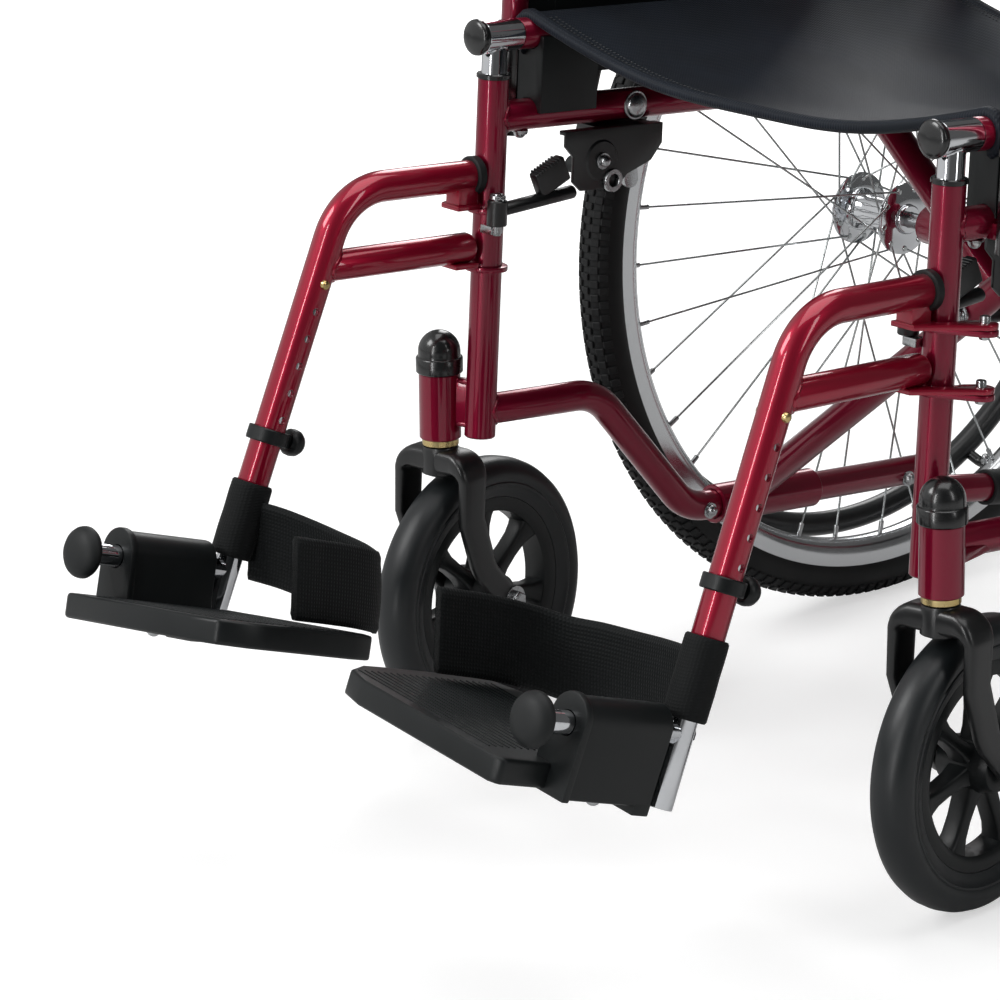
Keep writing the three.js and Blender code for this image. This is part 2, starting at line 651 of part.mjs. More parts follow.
function heelLoop(side) {
  const line = [[229, -202], [205, -193], [178, -187], [148, -184], [120, -186], [98, -193], [84, -206], [78, -222]];
  const half = 1.8;
  const left = [];
  const right = [];
  line.forEach(([x, y], i) => {
    const [ax, ay] = line[Math.max(i - 1, 0)];
    const [bx, by] = line[Math.min(i + 1, line.length - 1)];
    const length = Math.hypot(bx - ax, by - ay);
    const off = [(-(by - ay) / length) * half, ((bx - ax) / length) * half];
    left.push([x + off[0], y + off[1]]);
    right.push([x - off[0], y - off[1]]);
  });
  const band = slab(mirrored([...left, ...right.reverse()], side), 152, 208);
  const sleeve = rod(downTube(side, 212), downTube(side, 262), TUBE + 3.6, 16);
  const clearance = rod(downTube(side, 200), downTube(side, 290), TUBE + 0.5, 16);
  const below = block(v3(-400, -400, 0), v3(400, 0, 152));
  return cut(union(band, sleeve), clearance, below);
}

// ---- hanger release levers ----
function releasePivot(side) {
  return v3(side * (HALF_TRACK - 20), -9, 397);
}

function releaseLever(side) {
  const pivot = releasePivot(side);
  const end = v3(side * (HALF_TRACK - 23), 57, 404);
  const bar = rod(pivot.clone().add(v3(0, 2, 0)), end, 6, 10);
  const boss = rod(v3(pivot.x, pivot.y, 387), v3(pivot.x, pivot.y, 404), 7, 12);
  const paddle = new THREE.BoxGeometry(9, 26, 20);
  paddle.rotateX(0.5);
  paddle.translate(side * (HALF_TRACK - 20), 38, 417);
  return cut(union(bar, boss, paddle), rod(v3(pivot.x, pivot.y, 370), v3(pivot.x, pivot.y, 420), PIN + 0.4, 10));
}

// ---- wheel locks ----
const LOCK = { leverY: 120, leverZ: 425, shoeY: 140, shoeZ: 450, padY: 148, padZ: 400, gripX: 270 };

function lockBracket(side) {
  const inner = side * (HALF_TRACK - 18.2);
  const outer = side * (HALF_TRACK + 14.6);
  const wall = 2.8;
  const inside = [[54, 447], [54, 436], [62, 428], [62, 410], [70, 403], [104, 403], [114, 412], [136, 420], [146, 432], [146, 447]];
  const outside = [[92, 468], [92, 440], [106, 410], [134, 410], [156, 436], [156, 468]];
  const low = (x, towards) => Math.min(x, x + towards * wall);
  const shapes = [
    sideSlab(inside, low(inner, side), low(inner, side) + wall),
    sideSlab(outside, low(outer, -side), low(outer, -side) + wall),
    block(v3(Math.min(inner, outer), 92, 442), v3(Math.max(inner, outer), 145, 446)),
  ];
  const boltX = side * (HALF_TRACK + 14);
  const reach = side * 6;
  shapes.push(rod(v3(boltX, LOCK.leverY, LOCK.leverZ), v3(boltX + side * 32, LOCK.leverY, LOCK.leverZ), 4, 10));
  shapes.push(rod(v3(boltX, LOCK.shoeY, LOCK.shoeZ), v3(boltX + reach, LOCK.shoeY, LOCK.shoeZ), 4, 10));
  return union(...shapes);
}

function lockLever(side) {
  const at = (x, y, z) => v3(side * x, y, z);
  const hub = rod(at(HALF_TRACK + 15.2, LOCK.leverY, LOCK.leverZ), at(LOCK.gripX + 1, LOCK.leverY, LOCK.leverZ), 8, 14);
  const stem = rod(at(LOCK.gripX - 3, LOCK.leverY, LOCK.leverZ), at(LOCK.gripX, LOCK.leverY + 22, LOCK.leverZ + 90), 4.5, 10);
  const grip = rod(at(LOCK.gripX, LOCK.leverY + 19, LOCK.leverZ + 78), at(LOCK.gripX, LOCK.leverY + 32, LOCK.leverZ + 132), 8.4, 12);
  const pin = rod(at(HALF_TRACK, LOCK.leverY, LOCK.leverZ), at(LOCK.gripX + 10, LOCK.leverY, LOCK.leverZ), 4.4, 10);
  return cut(union(hub, stem, grip), pin);
}

function lockShoe(side) {
  const at = (x, y, z) => v3(side * x, y, z);
  const near = HALF_TRACK + 15.2;
  const half = 7;
  const outline = [
    [LOCK.shoeY - half, LOCK.shoeZ], [LOCK.shoeY, LOCK.shoeZ + half], [LOCK.shoeY + half, LOCK.shoeZ],
    [LOCK.padY + half, LOCK.padZ], [LOCK.padY, LOCK.padZ - half], [LOCK.padY - half, LOCK.padZ],
  ];
  const arm = sideSlab(outline, Math.min(side * near, side * (near + 4)), Math.max(side * near, side * (near + 4)));
  const pad = rod(at(near, LOCK.padY, LOCK.padZ), at(REAR_PLANE + 15, LOCK.padY, LOCK.padZ), 6.5, 12);
  return cut(union(arm, pad), rod(at(HALF_TRACK, LOCK.shoeY, LOCK.shoeZ), at(near + 20, LOCK.shoeY, LOCK.shoeZ), 4.4, 10));
}

// ---- armrests ----
function armrestFrame(side) {
  const foot = 446;
  const at = (y, z) => v3(side * ARM_X, y, z);
  const corners = [at(ARM_LEGS[0], foot), at(ARM_LEGS[0], ARM_TOP), at(ARM_LEGS[1], ARM_TOP), at(ARM_LEGS[1], foot)];
  return sweep(bend(corners, 40, 5), ARM_TUBE, 12);
}

function armPad(side) {
  const low = ARM_TOP + ARM_TUBE + GAP;
  const outline = [[-26, 72], [-18, 52], [18, 52], [26, 72], [26, 312], [18, 324], [-18, 324], [-26, 312]];
  return slab(outline.map(([x, y]) => [side * ARM_X + x, y]), low, low + 24);
}

function sidePanel(side) {
  const low = 480;
  const aboveSockets = 508;
  const clear = SOCKET_RADIUS + 2;
  const front = ARM_LEGS[0] + ARM_TUBE + GAP;
  const rear = ARM_LEGS[1] - ARM_TUBE - GAP;
  const top = ARM_TOP - ARM_TUBE - GAP;
  const corner = 34;
  const outline = [
    [front, aboveSockets], [ARM_LEGS[0] + clear, aboveSockets], [ARM_LEGS[0] + clear, low],
    [ARM_LEGS[1] - clear, low], [ARM_LEGS[1] - clear, aboveSockets], [rear, aboveSockets],
    [rear, top - corner], [rear - corner, top], [front + corner, top], [front, top - corner],
  ];
  return sideSlab(outline, side * ARM_X - 1.5, side * ARM_X + 1.5);
}

// ---- push grips and tipping tips ----
function pushGrip(side) {
  const points = caneRoute(side);
  const end = points[points.length - 1];
  const start = points[points.length - 2];
  const along = end.clone().sub(start).normalize();
  const at = (d) => end.clone().addScaledVector(along, d);
  const sleeve = rod(at(-84), at(6), 15.5, 16);
  const flange = rod(at(-86), at(-80), 19, 16);
  return cut(union(sleeve, flange), rod(at(-100), at(GAP), TUBE + GAP, 14));
}

function tippingTip(side) {
  const start = inFrame(side, CANE_Y, 130);
  const end = inFrame(side, CANE_Y + 84, 122);
  const along = end.clone().sub(start).normalize();
  const at = (d) => end.clone().addScaledVector(along, d);
  return cut(solid(rod(at(-26), at(5), 14, 16)), rod(at(-40), at(GAP), TUBE + GAP, 14));
}

// ---- assembly ----
for (const side of [-1, 1]) {
  add(chassis, named('side_frame', side), sideFrame(side), paint);
  add(chassis, named('seat_rail', side), seatRail(side), paint);
  add(chassis, named('seat_guide', side), seatGuide(side), chrome);
  add(chassis, named('guide_plug', side), guidePlug(side), plastic);
  add(chassis, named('seat_cradle', side), seatCradle(side), plastic);
  add(chassis, named('hanger', side), hanger(side), paint);
  add(chassis, named('hanger_collar', side), hangerCollar(side), plastic);
  add(chassis, named('footrest_tube', side), footrestTube(side), chrome);
  add(chassis, named('footrest_bumper', side), footBumper(side), rubber);
  add(chassis, named('footplate', side), footplate(side), plastic);
  add(chassis, named('heel_loop', side), heelLoop(side), nylon);
  add(chassis, named('release_lever', side), releaseLever(side), blackPaint);
  add(chassis, named('lock_bracket', side), lockBracket(side), blackPaint);
  add(chassis, named('lock_lever', side), lockLever(side), blackPaint);
  add(chassis, named('lock_shoe', side), lockShoe(side), steel);
  add(chassis, named('armrest_frame', side), armrestFrame(side), paint);
  add(chassis, named('arm_pad', side), armPad(side), vinyl);
  add(chassis, named('side_panel', side), sidePanel(side), plastic);
  add(chassis, named('push_grip', side), pushGrip(side), rubber);
  add(chassis, named('tipping_tip', side), tippingTip(side), rubber);
  add(ground, named('caster_cap', side), casterCap(side), plastic);
  add(ground, named('rear_tyre', side), rearTyre(side), rubber);
  add(ground, named('rear_wheel', side), rearWheel(side), chrome);
  add(ground, named('handrim', side), handrim(side), blackPaint);
  casterGroup(side);
}
add(chassis, 'brace_front', brace(-1, BRACE_FRONT_Y, 230, 330), paint);
add(chassis, 'brace_rear', brace(1, BRACE_REAR_Y, 265, 350), paint);
add(chassis, 'brace_bolt', braceBolt(), steel);
add(chassis, 'seat_upholstery', seatSling(), nylon);
add(chassis, 'back_upholstery', backSling(), nylon);

// Stand the chair's own box on the origin.
const extent = new THREE.Box3().setFromObject(chair, true);
const middle = extent.getCenter(v3(0, 0, 0));
chair.position.set(-middle.x, -middle.y, -extent.min.z);

export default chair;
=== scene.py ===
"""A folding wheelchair: painted steel frame, spoked rear wheels, castors, swing-away footrests.

Lengths in the tables below are millimetres. Most pieces are drawn square in the chassis, whose
zero is the floor under the front posts, and leaned back with it at the end. Wheels and castors
stand upright. A side is -1 for the occupant's right and 1 for the left.
"""
import math

import bmesh
import bpy
from mathutils import Matrix, Vector


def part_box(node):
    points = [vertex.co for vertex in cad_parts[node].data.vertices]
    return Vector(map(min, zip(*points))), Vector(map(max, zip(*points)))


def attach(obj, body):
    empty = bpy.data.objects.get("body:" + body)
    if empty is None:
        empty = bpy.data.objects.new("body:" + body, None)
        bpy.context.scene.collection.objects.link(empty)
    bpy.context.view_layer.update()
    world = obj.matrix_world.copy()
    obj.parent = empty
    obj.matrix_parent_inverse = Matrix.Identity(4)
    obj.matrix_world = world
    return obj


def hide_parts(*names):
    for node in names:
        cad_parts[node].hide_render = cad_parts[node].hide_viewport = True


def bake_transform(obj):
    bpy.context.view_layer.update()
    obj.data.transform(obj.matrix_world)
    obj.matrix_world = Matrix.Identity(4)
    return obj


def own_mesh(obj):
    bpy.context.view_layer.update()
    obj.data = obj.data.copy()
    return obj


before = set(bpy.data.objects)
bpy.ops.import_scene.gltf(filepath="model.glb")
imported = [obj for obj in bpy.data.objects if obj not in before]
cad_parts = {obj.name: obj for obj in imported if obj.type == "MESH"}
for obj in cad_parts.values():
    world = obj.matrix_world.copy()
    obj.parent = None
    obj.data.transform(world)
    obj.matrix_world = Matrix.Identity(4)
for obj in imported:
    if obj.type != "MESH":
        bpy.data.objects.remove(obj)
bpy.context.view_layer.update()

# ---- driving dimensions, in millimetres ----
# the frame's lean, its tubes' centre lines and radius
TILT = math.radians(3.73)
HALF_TRACK = 225.6
TUBE = 11.1
POST_FOOT, POST_TOP = 228.7, 487.6
UPPER_RAIL = 459.3
LOWER_RAIL_FRONT, LOWER_RAIL = 248, 149
CANE_Y, AXLE_Z = 461.4, 335.7
SEAT_RAIL = 517
HANDLE_Z = 945
BRACE_FRONT_Y, BRACE_REAR_Y = 258, 302

# wheels, handrims and castors
REAR_RADIUS, REAR_PLANE = 305, 298
HANDRIM_RADIUS, HANDRIM_TUBE, HANDRIM_OFFSET = 254.8, 9.5, 34.8
CASTER_RADIUS, CASTER_X, CASTER_Y, CASTER_TRAIL = 100, 253.5, 1.5, 39
CASTER_TURN = math.radians(8)

# hangers, the footrests that slide in them, and the footplates
SPLAY = math.radians(2.2)
ARM_Z, ELBOW, STRUT_Z = 419.3, 127.4, 368
HANGER_DROP = math.radians(19.4)
HINGE_OUT, HINGE_BACK = 27.4, 12
FOOT_AXIS_OUT, FOOT_REACH, FOOT_Z = 8.4, 340.5, 188.4
FOOT_PITCH, FOOT_ROLL = math.radians(13.3), math.radians(6.7)
PLATE_DROP, PLATE_THICK, PLATE_WIDE, PLATE_AHEAD, PLATE_LONG = 27.7, 17, 175, 13.3, 144

# armrests, canes, hinge lugs, the footrest's height holes, spokes and tread
ARM_X, ARM_LEGS, ARM_TOP, ARM_TUBE = 250, (38, 330), 740, 9.5
CANE_BEND_Z, CANE_LEAN = 690, math.tan(math.radians(8))
LUG_LEVELS = (392, 350)
HEIGHT_HOLE, HOLE_PITCH = 66, 19.6
SPOKE_RIM, SPOKE_FLANGE, SPOKE_COUNT = 259.4, 23.4, 36
TREAD_BLOCKS = 180

# cloth is wrapped round its tubes for the last tenth of its half width
CLOTH_THICK, HEM = 3.4, 10
WRAP = 0.1
WRAP_START, WRAP_TURN = math.radians(118), math.radians(190)
WRAP_RADIUS = TUBE + CLOTH_THICK / 2
CLOTH_REACH = HALF_TRACK + WRAP_RADIUS * math.cos(WRAP_START)
CLOTH_RISE = WRAP_RADIUS * math.sin(WRAP_START)

X, Y, Z = Vector((1, 0, 0)), Vector((0, 1, 0)), Vector((0, 0, 1))
V = Vector

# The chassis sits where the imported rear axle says.
low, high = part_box("rear_tyre_left")
HUB_Y = CANE_Y * math.cos(TILT) + AXLE_Z * math.sin(TILT)
SHIFT = (low[1] + high[1]) * 500 - HUB_Y
GROUND = Matrix.Scale(0.001, 4) @ Matrix.Translation((0, SHIFT, 0))
CHASSIS = GROUND @ Matrix.Rotation(-TILT, 4, "X")


def castor_space(side):
    """The castor's own frame: zero on the floor under the stem, turned as it rests."""
    return GROUND @ Matrix.Translation((side * CASTER_X, CASTER_Y, 0)) @ Matrix.Rotation(CASTER_TURN, 4, "Z")


def wheel_space(side):
    """The rear wheel's own frame: zero at the hub, +X outboard on both sides."""
    turn = Matrix.Identity(4) if side > 0 else Matrix.Rotation(math.pi, 4, "Z")
    return GROUND @ Matrix.Translation((side * REAR_PLANE, HUB_Y, REAR_RADIUS)) @ turn


def word(side):
    return "right" if side < 0 else "left"


def side_name(piece, side):
    return f"{piece}_{word(side)}"


def frame_of(side):
    return word(side) + "_frame"


def point(side, x, y, z):
    """A point given by its distance outboard of the middle."""
    return V((side * x, y, z))


# ---- materials ----
def linear(code):
    """An sRGB hex colour as linear RGBA."""
    parts = [int(code[i : i + 2], 16) / 255 for i in (1, 3, 5)]
    return tuple(p / 12.92 if p <= 0.04045 else ((p + 0.055) / 1.055) ** 2.4 for p in parts) + (1,)


def node(tree, kind, settings=None, links=None):
    """Adds a node: settings go to its sockets or its own fields, links join sockets to outputs."""
    made = tree.nodes.new(kind)
    for key, value in (settings or {}).items():
        if isinstance(key, int) or key in made.inputs:
            made.inputs[key].default_value = value
        else:
            setattr(made, key, value)
    for key, source in (links or {}).items():
        tree.links.new(source, made.inputs[key])
    return made


def blank_material(name):
    made = bpy.data.materials.new(name)
    made.use_nodes = True
    made.node_tree.nodes.clear()
    return made, made.node_tree


def close_material(tree, settings, links):
    shader = node(tree, "ShaderNodeBsdfPrincipled", settings, links)
    node(tree, "ShaderNodeOutputMaterial", links={"Surface": shader.outputs[0]})


def two_tone(tree, share, dark, light):
    """A colour that goes from dark to light with a share."""
    mix = node(tree, "ShaderNodeMix", {"data_type": "RGBA"}, {"Factor": share})
    mix.inputs[6].default_value = linear(dark)
    mix.inputs[7].default_value = linear(light)
    return mix.outputs[2]


def finish_of(name, dark, light, rough, grain_mm, grain_depth, settings, patch_mm=40):
    """A solid finish: colour drifts between two tones over patch_mm, and the skin has a fine grain."""
    made, tree = blank_material(name)
    place = {"Vector": node(tree, "ShaderNodeTexCoord").outputs["Object"]}
    patches = node(tree, "ShaderNodeTexNoise", {"Scale": 1000 / patch_mm, "Detail": 5}, place).outputs["Fac"]
    grain = node(tree, "ShaderNodeTexNoise", {"Scale": 1000 / grain_mm, "Detail": 3}, place).outputs["Fac"]
    tone = two_tone(tree, patches, dark, light)
    spread_of = {"From Min": 0.3, "From Max": 0.7, "To Min": rough[0], "To Max": rough[1]}
    sheen = node(tree, "ShaderNodeMapRange", spread_of, {"Value": patches}).outputs[0]
    depth = {"Strength": 1, "Distance": grain_depth / 1000}
    bump = node(tree, "ShaderNodeBump", depth, {"Height": grain}).outputs[0]
    close_material(tree, settings, {"Base Color": tone, "Roughness": sheen, "Normal": bump})
    return made


def woven(name, dark, light, thread_mm, depth_mm, directions, settings, source="Object"):
    """Plain weave: two sets of threads cross, each painted bright on top and dark in the gaps, a painted
    highlight and painted shade.
    The threads are drawn wider than real ones, so they still show at arm's length."""
    made, tree = blank_material(name)
    place = {"Vector": node(tree, "ShaderNodeTexCoord").outputs[source]}
    bands = {"wave_type": "BANDS", "Scale": math.pi / (10 * thread_mm / 1000)}
    bands |= {"Distortion": 0.6, "Detail": 1, "Detail Scale": 0.4}
    sets = {}
    for way in directions:
        wave = node(tree, "ShaderNodeTexWave", bands | {"bands_direction": way}, place)
        sets[len(sets)] = wave.outputs["Fac"]
    cloth = node(tree, "ShaderNodeMath", {"operation": "MULTIPLY"}, sets).outputs[0]
    drift = node(tree, "ShaderNodeTexNoise", {"Scale": 18, "Detail": 6}, place).outputs["Fac"]
    weight = {"operation": "MULTIPLY_ADD", 1: 0.55}
    # the thread pattern lightens the colour on the tops and darkens it in the gaps (painted highlight and
    # painted shade), with a random drift mixed in
    weave_painted_shade_and_drift = node(tree, "ShaderNodeMath", weight, {0: cloth, 2: drift}).outputs[0]
    tone = two_tone(tree, weave_painted_shade_and_drift, dark, light)
    bump = node(tree, "ShaderNodeBump", {"Distance": depth_mm / 1000}, {"Height": cloth}).outputs[0]
    close_material(tree, settings, {"Base Color": tone, "Normal": bump})
    return made


METAL = {"Metallic": 1}
LACQUER = {"Metallic": 0.6, "Specular IOR Level": 0.1, "Coat Roughness": 0.05, "Coat IOR": 1.5}
RUBBER = {"Specular IOR Level": 0.35}
CANVAS = {"Roughness": 0.52, "Sheen Weight": 0.02, "Sheen Roughness": 0.4, "Specular IOR Level": 0.2}
STRAP = {"Roughness": 0.7, "Sheen Weight": 0.03, "Sheen Roughness": 0.5, "Specular IOR Level": 0.2}

# Candy lacquer over a metallic base: deep in shade, bright along the lit edge, under clear coat.
candy = finish_of(
    "candy_red_lacquer_on_steel", "#760928", "#860d2e", (0.3, 0.36), 1.4, 0.012,
    LACQUER | {"Coat Weight": 0.8}, 120,
)
# The same lacquer, painted lighter on the swing-away hangers: painted light standing in for the light they
# catch.
painted_lighter_candy = finish_of(
    "candy_red_lacquer_painted_lighter_on_hangers", "#8e0a2a", "#a00f2e", (0.3, 0.36), 1.4, 0.012,
    LACQUER | {"Coat Weight": 1}, 120,
)
# Plated steel: near mirror, slightly uneven.
chrome = finish_of("chrome_plated_steel", "#c6c8cc", "#e4e6e8", (0.05, 0.12), 9, 0.01, METAL, 30)
# Clear zinc plating on pressed steel: greyer and duller than chrome.
zinc = finish_of("zinc_plated_steel", "#9fa1a3", "#c4c6c7", (0.2, 0.34), 2.5, 0.01, METAL, 12)
# Yellow passivated zinc on the sprung buttons and bearing rings: brassy against the red.
yellow_zinc = finish_of("yellow_passivated_zinc", "#b59a5c", "#e2cf9c", (0.2, 0.34), 2, 0.01, METAL, 10)
# Extruded aluminium rim, polished on its faces.
alloy = finish_of("polished_aluminium_rim", "#c4c6c8", "#dedfe1", (0.14, 0.26), 3, 0.008, METAL, 60)
# Drawn stainless wire: thin bright lines.
wire = finish_of("stainless_wire", "#a2a6a6", "#c6c9c9", (0.2, 0.28), 2, 0.004, METAL, 50)
# Powder coat, cured black: satin with a fine orange peel.
powder = finish_of(
    "black_powder_coat", "#0a0b0c", "#101213", (0.3, 0.4), 1.6, 0.03,
    {"Coat Weight": 0.2, "Coat Roughness": 0.25}, 60,
)
# Glass filled nylon, moulded: dark with a bloom of paler glass near the skin.
nylon_mould = finish_of(
    "moulded_glass_filled_nylon", "#090c0d", "#121617", (0.34, 0.46), 0.9, 0.03,
    {"Specular IOR Level": 0.34}, 45,
)
# Moulded caps and plugs: glossier than the nylon, with one clean highlight each.
gloss_mould = finish_of(
    "gloss_moulded_abs", "#090a0b", "#0e1011", (0.2, 0.3), 3, 0.01,
    {"Coat Weight": 0.4, "Coat Roughness": 0.12}, 25,
)
# Moulded rubber of grips, bumpers and tips: matt, a little dusty.
soft_rubber = finish_of("moulded_rubber", "#0d0f10", "#151819", (0.5, 0.66), 1.1, 0.05, RUBBER, 30)
# Tyre rubber: the darkest and driest of the blacks.
tyre_rubber = finish_of("tyre_rubber", "#0a0b0c", "#121415", (0.48, 0.66), 1.3, 0.05, RUBBER, 45)
# Solid castor tyre: smoother and paler, with a soft sheen round its shoulder.
castor_rubber = finish_of(
    "solid_castor_rubber", "#131618", "#1b1f21", (0.34, 0.46), 2.2, 0.03,
    {"Specular IOR Level": 0.45}, 50,
)
# Calendered vinyl over foam: pebbled.
vinyl = finish_of(
    "grained_vinyl", "#0b0c0d", "#131516", (0.4, 0.52), 2.2, 0.12, {"Specular IOR Level": 0.4}, 30,
)
# Coated nylon canvas: blue-black and flat, with its weave just showing. The back stands upright.
canvas = woven("coated_nylon_canvas", "#05080c", "#161d27", 2.4, 0.3, "XY", CANVAS)
back_canvas = woven("coated_nylon_canvas_upright", "#05080c", "#161d27", 2.4, 0.3, "XZ", CANVAS)
# Polyester webbing of the heel loops: ribbed and dull, woven along the strap or round its sleeve.
webbing = woven("ribbed_polyester_webbing", "#030404", "#0f1314", 2.6, 0.4, "XY", STRAP, source="UV")
webbing_round = woven("webbing_round_tube", "#030404", "#0c0f10", 2.0, 0.2, "ZX", STRAP)
# Bonded sewing thread: a shade paler than the canvas it holds.
thread = finish_of("bonded_thread", "#141618", "#1f2225", (0.5, 0.6), 0.6, 0.05, {"Sheen Weight": 0.1}, 10)

SLOT_OF = {
    candy: "frame_paint", painted_lighter_candy: "frame_paint", chrome: "chrome", zinc: "zinc",
    yellow_zinc: "zinc", powder: "black_paint", nylon_mould: "black_plastic",
    gloss_mould: "black_plastic", soft_rubber: "rubber", tyre_rubber: "tyre",
    castor_rubber: "tyre", vinyl: "vinyl", webbing_round: "nylon",
}


# ---- shapes: each is (points, faces) in millimetres ----
def shifted(shape, matrix):
    points, faces = shape
    return [matrix @ p for p in points], faces


def joined(*shapes):
    points, faces = [], []
    for some_points, some_faces in shapes:
        base = len(points)
        points += some_points
        faces += [tuple(base + i for i in face) for face in some_faces]
    return points, faces


def bend(corners, radius, pieces=10):
    """Rounds the corners of a path."""
    corners = [V(c) for c in corners]
    path = [corners[0]]
    for before, corner, after in zip(corners, corners[1:], corners[2:]):
        back, ahead = (before - corner).normalized(), (after - corner).normalized()
        half = back.angle(ahead) / 2
        centre = corner + (back + ahead).normalized() * (radius / math.sin(half))
        start = corner + back * (radius / math.tan(half)) - centre
        end = corner + ahead * (radius / math.tan(half)) - centre
        turn = start.cross(end).normalized()
        for k in range(pieces + 1):
            path.append(Matrix.Rotation(start.angle(end) * k / pieces, 3, turn) @ start + centre)
    return path + [corners[-1]]


def loft(rings, close=True):
    """Skins a list of rings of equal length, with flat ends."""
    count = len(rings[0])
    points = [p for ring in rings for p in ring]
    faces = []
    for i in range(len(rings) - 1):
        for k in range(count):
            a, b = i * count + k, i * count + (k + 1) % count
            faces.append((a, b, b + count, a + count))
    if close:
        faces.append(tuple(reversed(range(count))))
        faces.append(tuple(range(len(points) - count, len(points))))
    return points, faces


def tube(path, radius, sides=32, edge=0.9, wide=1, up=None):
    """A round bar along a path, its ends eased. wide and up make it an oval."""
    path = [V(p) for p in path]
    first = (path[1] - path[0]).normalized()
    last = (path[-1] - path[-2]).normalized()
    eased = [(path[0], radius - edge), (path[0] + first * edge * 0.3, radius - edge * 0.3)]
    eased += [(path[0] + first * edge, radius)] + [(p, radius) for p in path[1:-1]]
    eased += [(path[-1] - last * edge, radius)]
    eased += [(path[-1] - last * edge * 0.3, radius - edge * 0.3), (path[-1], radius - edge)]
    side = (up if up is not None else (X if abs(first.x) < 0.9 else Z)).cross(first).normalized()
    rings = []
    for i, (p, r) in enumerate(eased):
        behind = eased[max(i - 1, 0)][0]
        ahead = eased[min(i + 1, len(eased) - 1)][0]
        along = (ahead - behind).normalized()
        side = (side - along * side.dot(along)).normalized()
        other = along.cross(side)
        ring = []
        for k in range(sides):
            a = 2 * math.pi * k / sides
            ring.append(p + side * (r * wide * math.cos(a)) + other * (r * math.sin(a)))
        rings.append(ring)
    return loft(rings)


def rod(a, b, radius, sides=32, edge=0.5):
    return tube([a, b], radius, sides, min(edge, radius * 0.5, (V(b) - V(a)).length * 0.3))


def lathe(profile, centre=(0, 0, 0), axis=X, segments=64, closed=False):
    """Turns (radius, distance) pairs about an axis. A profile that isn't closed ends on the axis."""
    axis = V(axis).normalized()
    turn = Z.rotation_difference(axis)
    inner = profile if closed else profile[1:-1]
    points = []
    for r, h in inner:
        for k in range(segments):
            a = 2 * math.pi * k / segments
            points.append(V(centre) + turn @ V((r * math.cos(a), r * math.sin(a), h)))
    faces = []
    rows = len(inner)
    for i in range(rows if closed else rows - 1):
        j = (i + 1) % rows
        for k in range(segments):
            m = (k + 1) % segments
            faces.append((i * segments + k, i * segments + m, j * segments + m, j * segments + k))
    if not closed:
        for end, row in ((0, 0), (-1, rows - 1)):
            points.append(V(centre) + turn @ V((0, 0, profile[end][1])))
            tip = len(points) - 1
            for k in range(segments):
                faces.append((row * segments + k, row * segments + (k + 1) % segments, tip))
    return points, faces


def prism(outline, low, high, across="z"):
    """An outline of pairs made thick: across z from (x, y), or across x from (y, z)."""
    place = (lambda u, v, w: V((u, v, w))) if across == "z" else (lambda u, v, w: V((w, u, v)))
    return loft([[place(u, v, low) for u, v in outline], [place(u, v, high) for u, v in outline]])


def box(a, b):
    (ax, ay, az), (bx, by, bz) = a, b
    outline = [(min(ax, bx), min(ay, by)), (max(ax, bx), min(ay, by))]
    outline += [(max(ax, bx), max(ay, by)), (min(ax, bx), max(ay, by))]
    return prism(outline, min(az, bz), max(az, bz))


def eased(shape, width, segments=2, angle=30):
    """Rounds a shape's sharp edges."""
    points, faces = shape
    work = bmesh.new()
    corners = [work.verts.new(p) for p in points]
    for face in faces:
        work.faces.new([corners[i] for i in face])
    bmesh.ops.recalc_face_normals(work, faces=work.faces)
    sharp = [e for e in work.edges if len(e.link_faces) == 2 and e.calc_face_angle(0) > math.radians(angle)]
    bmesh.ops.bevel(
        work, geom=sharp, offset=width, segments=segments, profile=0.6, affect="EDGES", clamp_overlap=True
    )
    work.verts.index_update()
    result = [v.co.copy() for v in work.verts], [tuple(v.index for v in f.verts) for f in work.faces]
    work.free()
    return result


def weld_bead(start, along, branch, post_point, post_axis, post, size=1.7):
    """The bead where a branch tube meets a post: it follows the saddle between them."""
    along, post_axis = V(along).normalized(), V(post_axis).normalized()
    first = along.orthogonal().normalized()
    second = along.cross(first)
    path = []
    steps = 72
    flat = along - post_axis * along.dot(post_axis)
    for k in range(steps):
        a = 2 * math.pi * k / steps
        p = V(start) + first * (branch * math.cos(a)) + second * (branch * math.sin(a)) - V(post_point)
        across = p - post_axis * p.dot(post_axis)
        half = across.dot(flat) / flat.length_squared
        gap = max(post**2 - across.length_squared + (across.dot(flat)) ** 2 / flat.length_squared, 0)
        path.append(p + V(post_point) + along * (math.sqrt(gap) / flat.length - half))
    rings = []
    for k, p in enumerate(path):
        tangent = (path[(k + 1) % steps] - path[k - 1]).normalized()
        outward = (p - V(start)).cross(tangent).normalized()
        other = tangent.cross(outward)
        r = size * (1 + 0.13 * math.sin(k * math.pi / 2))
        section = [i * math.pi / 4 for i in range(8)]
        rings.append([p + outward * r * math.cos(b) + other * r * math.sin(b) for b in section])
    rings.append(rings[0])
    return loft(rings, close=False)


def turns_of(count):
    """Even steps round a circle, in radians."""
    return [2 * math.pi * k / count for k in range(count)]


def arc(cx, cy, r, start, end, steps):
    """Points round part of a circle, its angles in degrees."""
    turns = [math.radians(start + (end - start) * k / steps) for k in range(steps + 1)]
    return [(cx + r * math.cos(a), cy + r * math.sin(a)) for a in turns]


def dome(radius, base, height, steps):
    """The quarter oval that rounds a lathe profile off towards its axis."""
    turns = [math.pi * k / (2 * steps) for k in range(1, steps)]
    return [(radius * math.cos(a), base + height * math.sin(a)) for a in turns]


def squared(value, power):
    """Pushes a sine or cosine out towards a box: the smaller the power, the squarer."""
    return math.copysign(abs(value) ** power, value)


def mirrored(outline, side):
    return outline if side > 0 else [(-x, y) for x, y in reversed(outline)]


# ---- pieces ----
def placed(name, data):
    made = bpy.data.objects.new(name, data)
    bpy.context.scene.collection.objects.link(made)
    return made


def mesh_of(name, shape):
    mesh = bpy.data.meshes.new(name)
    mesh.from_pydata([tuple(p) for p in shape[0]], [], shape[1])
    return mesh


